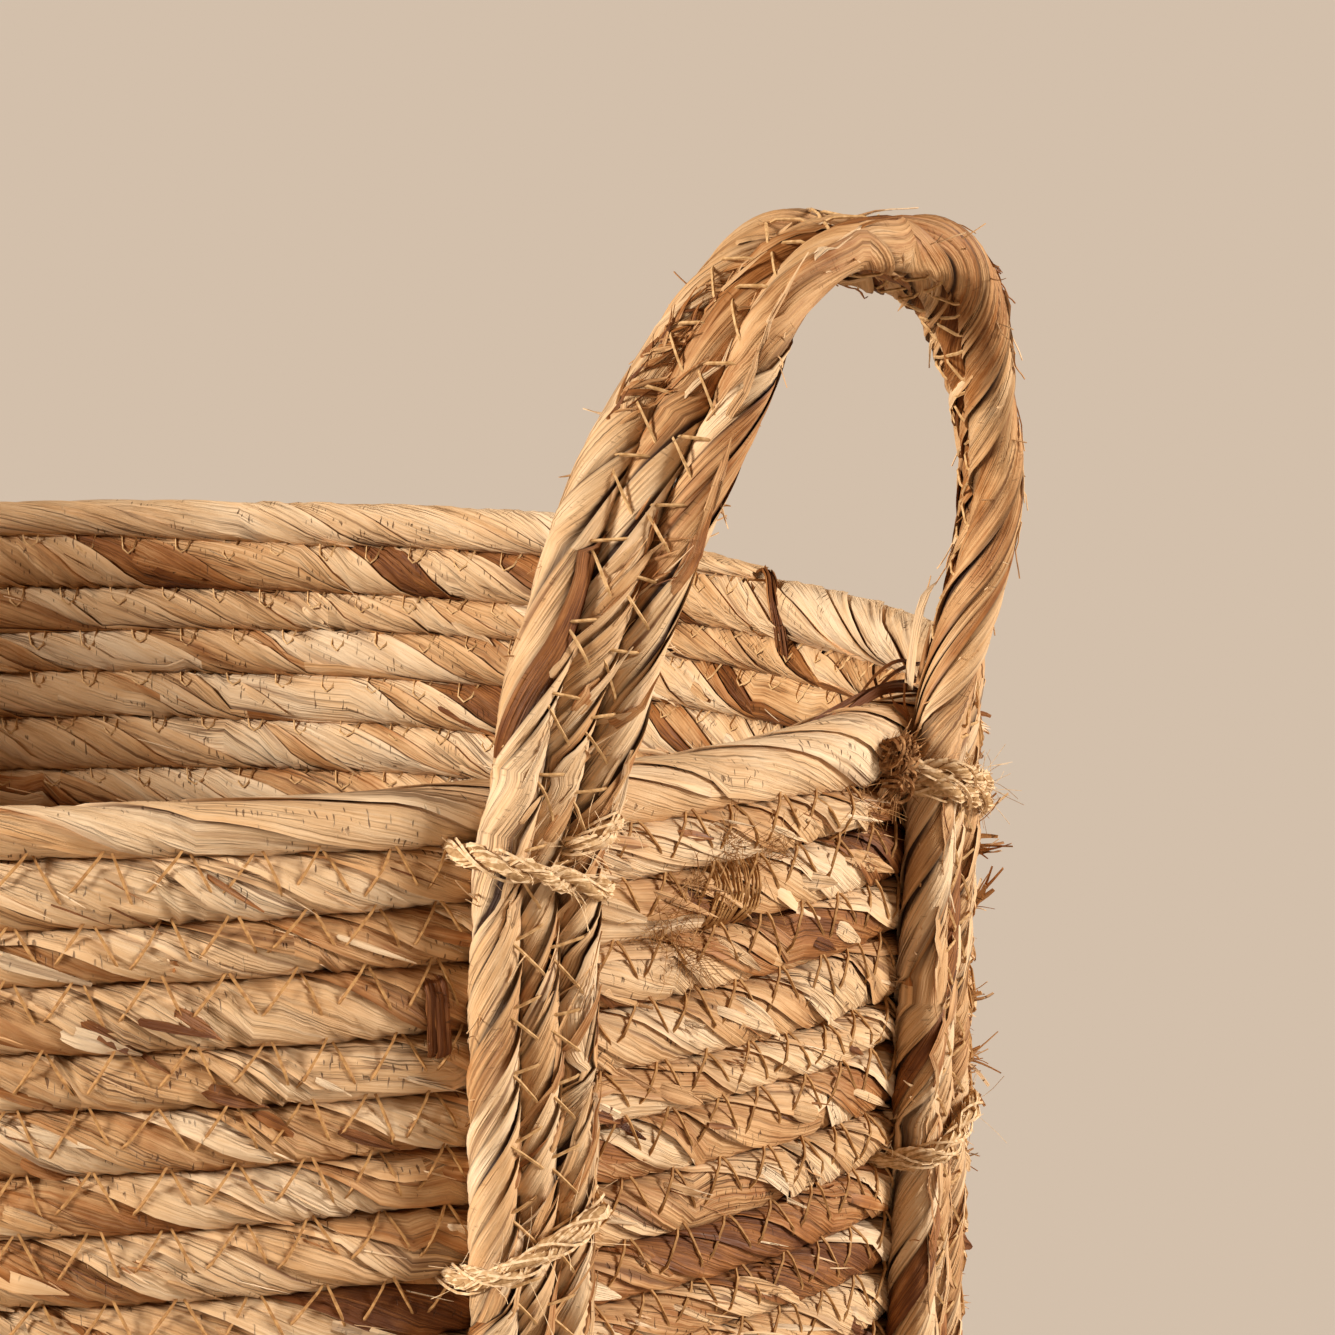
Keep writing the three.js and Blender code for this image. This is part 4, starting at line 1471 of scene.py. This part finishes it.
# %% [markdown]
# The cords shed strips as the wall does, mostly along the twist of their leaves. They are laid on the
# cords by rays too.

# %% Loose strips on the cords
EDGE = 1.32                    # furthest start of a strip from the band's middle, in cords


def band_strip(side, face_sign, s, offset, length, slope, lift, points):
    """The middle line of a strip that lies on the cords of a handle, and the direction across it."""
    share = np.linspace(0, 1, points)
    pitch = np.interp(s, band["s"], band["pitch"])
    middle, across, face = band_at(s + length * share * math.cos(slope))
    aside = offset * pitch + face_sign * length * share * math.sin(slope)
    aside = np.clip(aside, -EDGE * pitch, EDGE * pitch)
    places = half_turned(middle + across * aside[:, None], side)
    normals = half_turned(face, side) * face_sign
    path = laid_on(places, normals, cord_trees[side], tight=False, lift=STRIP_LIFT, sink=STRIP_SINK)
    path = path + normals * (lift * share**2.5)[:, None]
    return path, np.cross(normals, unit(np.gradient(path, axis=0)))


FRAYS = (   # where torn leaves are heaped up: share of the arch, cord, how many
    (0.25, -1.25, 14), (0.29, -0.95, 20), (0.33, -0.8, 10), (0.62, 1.0, 8), (0.8, -0.6, 10), (0.12, 0.4, 10),
)


def band_strips(side, rng):
    """Strips all along a handle, and dark torn ones heaped up in a few places."""
    first, last = band["s"][np.flatnonzero(band["middle"][:, 2] > PIVOT_HEIGHT)[[0, -1]]]
    sites = [(rng.uniform(0.02, 0.93) * band["s"][-1], rng.uniform(-EDGE, EDGE), 0) for _ in range(330)]
    for share, offset, count in FRAYS:
        for _ in range(count):
            s = first + (last - first) * share + rng.normal() * 4 * MM
            sites.append((s, np.clip(offset + rng.normal() * 0.15, -EDGE, EDGE), 1))
    paths, across, wide, tones = [], [], [], []
    for s, offset, torn in sites:
        height = np.interp(s, band["s"], band["middle"][:, 2])
        face_sign = -1 if height > PIVOT_HEIGHT + 8 * MM and rng.random() < 0.4 * (1 - torn) else 1
        length = rng.uniform(5, 12 if torn else 30) * MM
        slope = math.radians(rng.uniform(-10, 70) if torn else rng.uniform(14, 34))
        path, aside = band_strip(side, face_sign, s, offset, length, slope, rng.uniform(0, 2.4) * MM, 8)
        line = unit(np.gradient(path, axis=0))
        paths.append(path)
        across.append(rolled(aside, line, rng.uniform(-0.4, 0.7)))
        widest = rng.uniform(0.15, 0.8) if torn or rng.random() < 0.5 else rng.uniform(0.6, 2.2)
        wide.append(strip_width(8, 0.1) * widest * MM)
        tones.append(rng.uniform(0.05, 0.45) if torn else rng.uniform(0.3, 0.9))
    return paths, across, wide, tones


def band_hairs(side, rng):
    """Torn ends that stand off the band's two edges and off its faces."""
    count = 260
    s = rng.uniform(0.02, 0.98, count) * band["s"][-1]
    middle, across, face = band_at(s)
    radius = LEG_CORD + (ARCH_CORD - LEG_CORD) * np.interp(s, band["s"], band["free"])
    edge = np.interp(s, band["s"], band["pitch"]) + 0.85 * radius
    sign = rng.choice([-1, 1], count)[:, None]
    starts = half_turned(middle + across * sign * edge[:, None], side)
    aims = half_turned(across * sign + 0.8 * rng.normal(size=(count, 3)), side)
    return hair_paths(starts, unit(aims), rng.uniform(1.2, 5.5, count) * MM, 0.5, rng, 8)


def curved_strip(places, half_width, points=12):
    """A tapering strip through a few (degrees, height, distance out) places beside the wall's top."""
    corners = [tuple(radial(math.radians(a)) * (RIM_RADIUS + o * MM) + UP * h * MM) for a, h, o in places]
    s, line = curve_through(corners, 0.5 * MM)
    even = np.linspace(0, s[-1], points)
    path = at_lengths(even, s, line)
    share = np.linspace(0, 1, points)
    wide = half_width * np.clip(1.25 * np.sin(np.pi * (0.2 + 0.8 * share)), 0.12, 1)
    return path, np.cross(radial(math.radians(places[0][0])), unit(np.gradient(path, axis=0))), wide


BESIDE_LEG = (   # leaves that stand up where a leg meets the rim: places, half width in mm, how pale
    (((15.4, 341.0, -3), (15.9, 349.5, -3), (17.0, 357, -3), (18.3, 360.5, -3), (20.3, 361.5, -3)), 1.5, 0.8),
    (((16.2, 341.0, -5), (17.2, 350.5, -5), (18.6, 358, -4), (20.0, 363, -4)), 0.7, 0.6),
    (((17.5, 341.0, -4), (18.3, 349.0, -3), (19.0, 353, -3)), 0.9, 0.35),
)


def build_band_leaves(side):
    rng = np.random.default_rng([89, side == "left"])
    paths, across, wide, tones = band_strips(side, rng)
    hairs = band_hairs(side, rng)
    paths += list(hairs)
    across += list(np.broadcast_to(rng.normal(size=(len(hairs), 1, 3)), hairs.shape))
    wide += list(rng.uniform(0.1, 0.42, (len(hairs), 1)) * MM * np.linspace(1, 0.3, 8))
    tones += list(rng.uniform(0.35, 0.9, len(hairs)))
    for places, half_width, tone in BESIDE_LEG:
        path, _, widths = curved_strip(places, half_width * MM, 8)
        paths.append(half_turned(path, side))
        across.append(np.broadcast_to(half_turned(np.array([1.0, -0.4, 0.0]), side), path.shape))
        wide.append(widths)
        tones.append(tone)
    name = side + "_handle_loose_leaves"
    piece = strands(name, paths, np.array(wide), 0.15 * MM, np.array(across), 4, cord_leaf, tones)
    return bend_with_handle(piece)


band_leaves = [build_band_leaves(side) for side in cords]
print("faces in the handles' loose leaves", sum(len(p.data.polygons) for p in band_leaves))


# %% [markdown]
# Where a leaf has split, its fibres stand off in a tuft. Each tuft is a few hairs from one place, bent
# at random.

# %% Tufts
BIG_TUFTS = (   # degrees round the wall, height and length, both in mm
    (28.5, 303, 9), (31, 297, 8), (34, 281, 8), (33, 262, 6), (34, 246, 7), (36, 238, 6), (35, 222, 5),
    (10, 321, 4), (6, 315, 4), (13, 252, 4),
)


def tuft(angle, height, count, length, rng, points=5):
    """A bunch of torn leaf ends that stands out from the wall at one place."""
    places, normals = wall_places(np.array([angle]), np.array([height]))
    foot = laid_on(places, normals, wall_trees, sink=(0, 0))[0]
    foot = foot - normals[0] * 1.2 * MM + rng.normal(size=(count, 3)) * 0.9 * MM
    aims = unit(normals[0] * 0.9 + UP * rng.uniform(-0.5, 0.9) + 0.36 * rng.normal(size=(count, 3)))
    paths = hair_paths(foot, aims, rng.uniform(0.4, 1.0, count) * length, 0.5, rng, points)
    wide = rng.uniform(0.15, 1.15, count)[:, None] * MM * np.linspace(1, 0.45, points)
    return paths, wide


def build_tufts():
    """A few large tufts beside the legs, and small ones all over the wall."""
    rng = np.random.default_rng(97)
    at = [(angle + turn, height, length) for turn in (0, 180) for angle, height, length in BIG_TUFTS]
    at += [(rng.uniform(0, 360), rng.uniform(30, 330), rng.uniform(2, 4.5)) for _ in range(110)]
    paths, wide, across = [], [], []
    for angle, height, length in at:
        count = int(3 + length * 1.1)
        tuft_paths, tuft_wide = tuft(math.radians(angle), height * MM, count, length * MM, rng)
        paths.append(tuft_paths)
        wide.append(tuft_wide)
        across.append(np.broadcast_to(rng.normal(size=(count, 1, 3)), tuft_paths.shape))
    tones = rng.uniform(0.25, 0.8, sum(len(p) for p in paths))
    piece = strands("leaf_tufts", np.concatenate(paths), np.concatenate(wide), 0.12 * MM,
                    np.concatenate(across), 4, rope_leaf, tones)
    return basket_piece(piece, "rope")


print("tuft faces", len(build_tufts().data.polygons))

# %% [markdown]
# ## Marks of hand work
# A few places on the basket are not like the rest. A dark leaf strip hangs down beside a leg. Where the
# rope was joined it is bound with a dozen turns of thread, with a tangle of fibres round them. Leaves
# stick up where a leg meets the rim, and the rope's cut end is frayed. Each mark is made for one side of
# the basket and again for the other, half a turn round.

# %% Bound joint, dark strip and tangles
mark_rng = np.random.default_rng(101)
BINDING_ANGLE = math.radians(-4.0)
BINDING_COURSES = 2.0          # courses below the rim
BINDING_TURNS = 13
BINDING_STEP = 1.15 * MM
DARK_STRIPS = (   # degrees round the wall, height of the top, length and half width, all in mm
    (-23.95, 302.5, 16, 1.1), (-23.6, 302.5, 16, 0.5), (-23.48, 302.5, 16, 1.2), (-23.1, 302.5, 16, 0.6),
    (25.5, 262, 14, 1.5),
)
TANGLES = (   # degrees round the wall, height in mm, number of fibres and spread in mm
    (-9, 306, 150, 3.2), (-7, 313, 90, 2.4), (-4.5, 319.5, 120, 2.6), (-8, 299, 100, 3), (-1, 317, 60, 2.5),
    (8, 320, 60, 2.5),
)


def binding(middle_angle, courses):
    """Thread wound tightly round one course of rope."""
    paths = []
    for i in range(BINDING_TURNS):
        aside = (i - BINDING_TURNS / 2) * BINDING_STEP / RIM_RADIUS
        aside += mark_rng.uniform(-0.3, 0.3) * MM / RIM_RADIUS
        angle = middle_angle + aside
        top = seam_height(angle, courses) + 0.3 * MM
        bottom = seam_height(angle, courses + 1) - 0.3 * MM
        angles = np.linspace(angle + 1.4 * MM / RIM_RADIUS, angle - 1.4 * MM / RIM_RADIUS, 8)
        places, normals = wall_places(angles, np.linspace(top, bottom, 8))
        paths.append(laid_on(places, normals, wall_trees))
    return paths


def dark_strip(middle_angle, top, length, half_width):
    """A dark leaf that lies across the courses, from the top down."""
    points = 12
    angles = middle_angle + np.linspace(0, 0.006, points)
    places, normals = wall_places(angles, np.linspace(top, top - length, points))
    path = laid_on(places, normals, wall_trees, lift=0.5 * MM, sink=(0.6 * MM, 0.3 * MM))
    across = np.cross(normals, unit(np.gradient(path, axis=0)))
    wide = half_width * (1 + 0.12 * mark_rng.normal(size=points))
    return path, across, wide


def tangle(angle, height, count, spread, rng):
    """Curly fibres heaped up round a place on the wall."""
    angles = angle + rng.normal(size=count) * spread / RIM_RADIUS
    places, normals = wall_places(angles, height + rng.normal(size=count) * spread * 0.8)
    feet = np.array([laid_on(p[None], n[None], wall_trees, sink=(0, 0))[0] for p, n in zip(places, normals)])
    aims = unit(0.5 * normals + rng.normal(size=feet.shape))
    return hair_paths(feet, aims, rng.uniform(1.5, 5.5, count) * MM, 1.1, rng, 7)


def build_marks():
    windings, strips, curls = [], [], []
    for turn in (0, math.pi):
        windings += binding(BINDING_ANGLE + turn, BINDING_COURSES)
        for angle, top, length, wide in DARK_STRIPS:
            strips.append(dark_strip(math.radians(angle) + turn, top * MM, length * MM, wide * MM))
        for angle, height, count, spread in TANGLES:
            curls.append(tangle(math.radians(angle) + turn, height * MM, count, spread * MM, mark_rng))
    pieces = [thread_piece("joint_binding", windings),
              thread_piece("fibre_tangles", np.concatenate(curls), thread, 0.07 * MM, 3)]
    paths, across, wide = (np.array(values) for values in zip(*strips))
    tones = mark_rng.uniform(0.02, 0.12, len(paths))
    piece = strands("dark_strips", paths, wide, 0.3 * MM, across, 8, rope_leaf, tones)
    pieces.append(basket_piece(piece, "rope"))
    return pieces


print("marks", [piece.name for piece in build_marks()])


# %% [markdown]
# Where the rope stops at the rim its leaves end at different lengths, and a few more stick out beside
# the legs. Each end is a flat strip drawn through three or four listed places.

# %% Leaf ends at the legs and at the rope's end
COLLAR = (   # leaf ends beside a leg: places along each strip, its half width in mm, and how pale it is
    (((4.5, 338.0, -8), (9.5, 341.3, -7), (13.6, 342, -7), (18, 341, -7), (22, 339.5, -6)), 1.0, 0.04),
    (((6.0, 338.5, -7), (11, 341.2, -6), (15, 341.6, -6), (20, 338.5, -6)), 0.8, 0.12),
    (((9.0, 340.0, -6), (12.5, 342.3, -5), (16, 341.0, -4), (19, 338, -4)), 1.1, 0.0),
    (((10.5, 340.5, -8), (13.5, 344.8, -8), (17, 346, -8), (21, 343.5, -7)), 0.45, 0.3),
    (((12.0, 341.0, -7), (16.0, 344.3, -7), (20, 344.0, -6), (23, 341, -6)), 0.5, 0.18),
    (((13.0, 341.5, -4), (12.6, 339.5, -2), (13.2, 337, -0.5), (13.4, 333, 0)), 0.8, 0.15),
    (((14.6, 342.5, -3), (13.6, 339.0, -1.5), (14.0, 335, -0.5)), 0.7, 0.3),
    (((18.5, 345.5, -3), (16.5, 342, -2), (15.5, 338, -1)), 0.8, 0.05),
)
# The line that the leaves at the rope's cut end follow, over the rim and down inside.
TAIL = ((73.4, 337.5, -6.5), (71.6, 336.5, -10), (70.3, 333, -12.6), (69.3, 327, -13.6), (68.9, 320, -13.4))


def rope_end_fray(count, rng):
    """The torn, dark leaves of the rope's cut end. They hang down over the course below, inside."""
    paths, across, wide = [], [], []
    for _ in range(count):
        aside, down, off = rng.normal(size=3) * (0.22, 0.6, 0.5)
        last = rng.integers(4, 6)
        places = [(a + aside * (1 + i / 4), h + down, o + off) for i, (a, h, o) in enumerate(TAIL[:last])]
        path, _, _ = curved_strip(places, 1 * MM)
        paths.append(path)
        across.append(np.cross(radial(math.radians(70)), unit(np.gradient(path, axis=0))))
        wide.append(rng.uniform(0.25, 1.0) * MM * np.linspace(1, 0.35, 12))
    return paths, across, wide, rng.uniform(-0.2, 0.2, count)


def build_leaf_ends():
    paths, across, wide, tones = (list(values) for values in rope_end_fray(40, mark_rng))
    for side in cords:
        for places, half_width, tone in COLLAR:
            path, aside, widths = curved_strip(places, half_width * MM)
            paths.append(half_turned(path, side))
            across.append(half_turned(aside, side))
            wide.append(widths)
            tones.append(tone)
    paths, wide, across = np.array(paths), np.array(wide), np.array(across)
    piece = strands("loose_leaf_ends", paths, wide, 0.18 * MM, across, 6, rope_leaf, tones)
    return basket_piece(piece, "rope")


print("leaf ends", len(build_leaf_ends().data.polygons), "faces")


# %% [markdown]
# A tie's two ends are knotted inside the wall, and the cut ends fray. The top tie of each second leg has
# three dark knots outside as well. Fine twine in a knot is too crushed to show its strands clearly, so a
# knot is built straight from fibres that follow one knotted line.

# %% Knots
KNOT_SIZE = 2.9 * MM
TAIL_HAIRS = 12                # frayed fibres at each of a knot's two ends
DARK_KNOTS = ((9.9, 330.8), (11.3, 330.0), (10.7, 324.5))   # degrees round the wall, height in mm


def knot_line(centre, size, first, second, third):
    """An overhand knot: one trip round its three loops, with its two ends left open."""
    t = np.linspace(0.25, TURN - 0.05, 36)[:, None]
    size = size / 2.4
    loops = (first * (np.sin(t) + 2 * np.sin(2 * t)) + second * (np.cos(t) - 2 * np.cos(2 * t))
             + third * 1.3 * np.sin(3 * t))
    return centre + size * loops


def random_axes(rng):
    """Three directions at right angles to each other, turned at random."""
    axes = unit(rng.normal(size=(3, 3)))
    axes[1] = unit(np.cross(axes[0], axes[1]))
    axes[2] = np.cross(axes[0], axes[1])
    return axes


def one_knot(centre, size, rng):
    """The fibres of one knot, and the hairs along it and at its two cut ends."""
    axes = random_axes(rng)
    knot = knot_line(centre, size, *axes)
    loops = twine_fibres(lengths_along(knot), knot, rng, 6, 2, axes[2] + 0.01)
    fuzz = fuzz_along(knot, 45, 2 * MM, 5 * MM, rng)
    count = 2 * TAIL_HAIRS
    ends = np.repeat(knot[[0, -1]], TAIL_HAIRS, axis=0) + rng.normal(size=(count, 3)) * 0.5 * MM
    aims = unit(rng.normal(size=(2, 3)) - 0.6 * UP)
    aims = unit(np.repeat(aims, TAIL_HAIRS, axis=0) + 0.25 * rng.normal(size=(count, 3)))
    return loops, [fuzz, hair_paths(ends, aims, rng.uniform(5, 9, count) * MM, 0.3, rng)]


def build_knots():
    """Each tie is knotted inside the wall. The first tie of each second leg is knotted outside too."""
    rng = np.random.default_rng(113)
    paths, tails, dark_paths, dark_tails = [], [], [], []
    for name, line in tie_lines.items():
        places = [line[int(TWINE_POINTS * 0.79)]]
        if name.endswith("second_tie_1"):
            turn = math.pi if name.startswith("left") else 0
            places += [radial(turn + math.radians(angle)) * (RIM_RADIUS + 2 * MM) + UP * height * MM
                       for angle, height in DARK_KNOTS]
        for i, centre in enumerate(places):
            loops, hairs = one_knot(centre, KNOT_SIZE * (0.62 if i else 1), rng)
            (dark_paths if i else paths).extend(loops)
            (dark_tails if i else tails).extend(hairs)
    return [thread_piece("tie_knots", paths, twine_fibre, 0.4 * MM, 3),
            thread_piece("knot_fuzz", np.concatenate(tails), twine_fibre, 0.09 * MM, 3),
            thread_piece("dark_knots", dark_paths, dark_twine, 0.4 * MM, 3),
            thread_piece("dark_knot_fuzz", np.concatenate(dark_tails), dark_twine, 0.09 * MM, 3)]


print("knots", [piece.name for piece in build_knots()])


# %% [markdown]
# The top tie carries the most weight, so the maker wound it twice. The second turn lies beside the
# first, over part of a leg or all of it. It is laid on by rays, as the other threads are.

# %% The first ties' second turn
def second_turn(side, leg):
    """Where the top tie's second turn lies: over the last cord of a first leg, and all over a second leg."""
    (start, start_height), (end, end_height) = tie_ends(leg_tops(side)[leg][1], 0)
    if leg == 0:
        angles = end - np.linspace(12.5, 1.5, 12) * MM / RIM_RADIUS
        return angles, end_height + np.linspace(10, 14.5, 12) * MM
    return np.linspace(start, end, 15), np.linspace(start_height, end_height, 15) + 3.6 * MM


def build_second_turns():
    rng = np.random.default_rng(131)
    cores, fibres, fuzz = [], [], []
    for side in cords:
        for leg in (0, 1):
            places, normals = wall_places(*second_turn(side, leg))
            trees = wall_trees + cord_trees[side]
            line = laid_on(places, normals, trees, lift=1.6 * MM, sink=(3 * MM, 3 * MM))
            s, line = resampled(line, 48)
            cores += plies(s, line)
            fibres += twine_fibres(s, line, rng)
            fuzz.append(fuzz_along(line, 110, 2.5 * MM, 8 * MM, rng))
    return [thread_piece("second_turns", cores, twine, PLY * 0.9, 7),
            thread_piece("second_turn_fibres", fibres, twine_fibre, 0.31 * MM, 3),
            thread_piece("second_turn_fuzz", np.concatenate(fuzz), twine_fibre, 0.065 * MM, 3)]


print("second turns", [piece.name for piece in build_second_turns()])
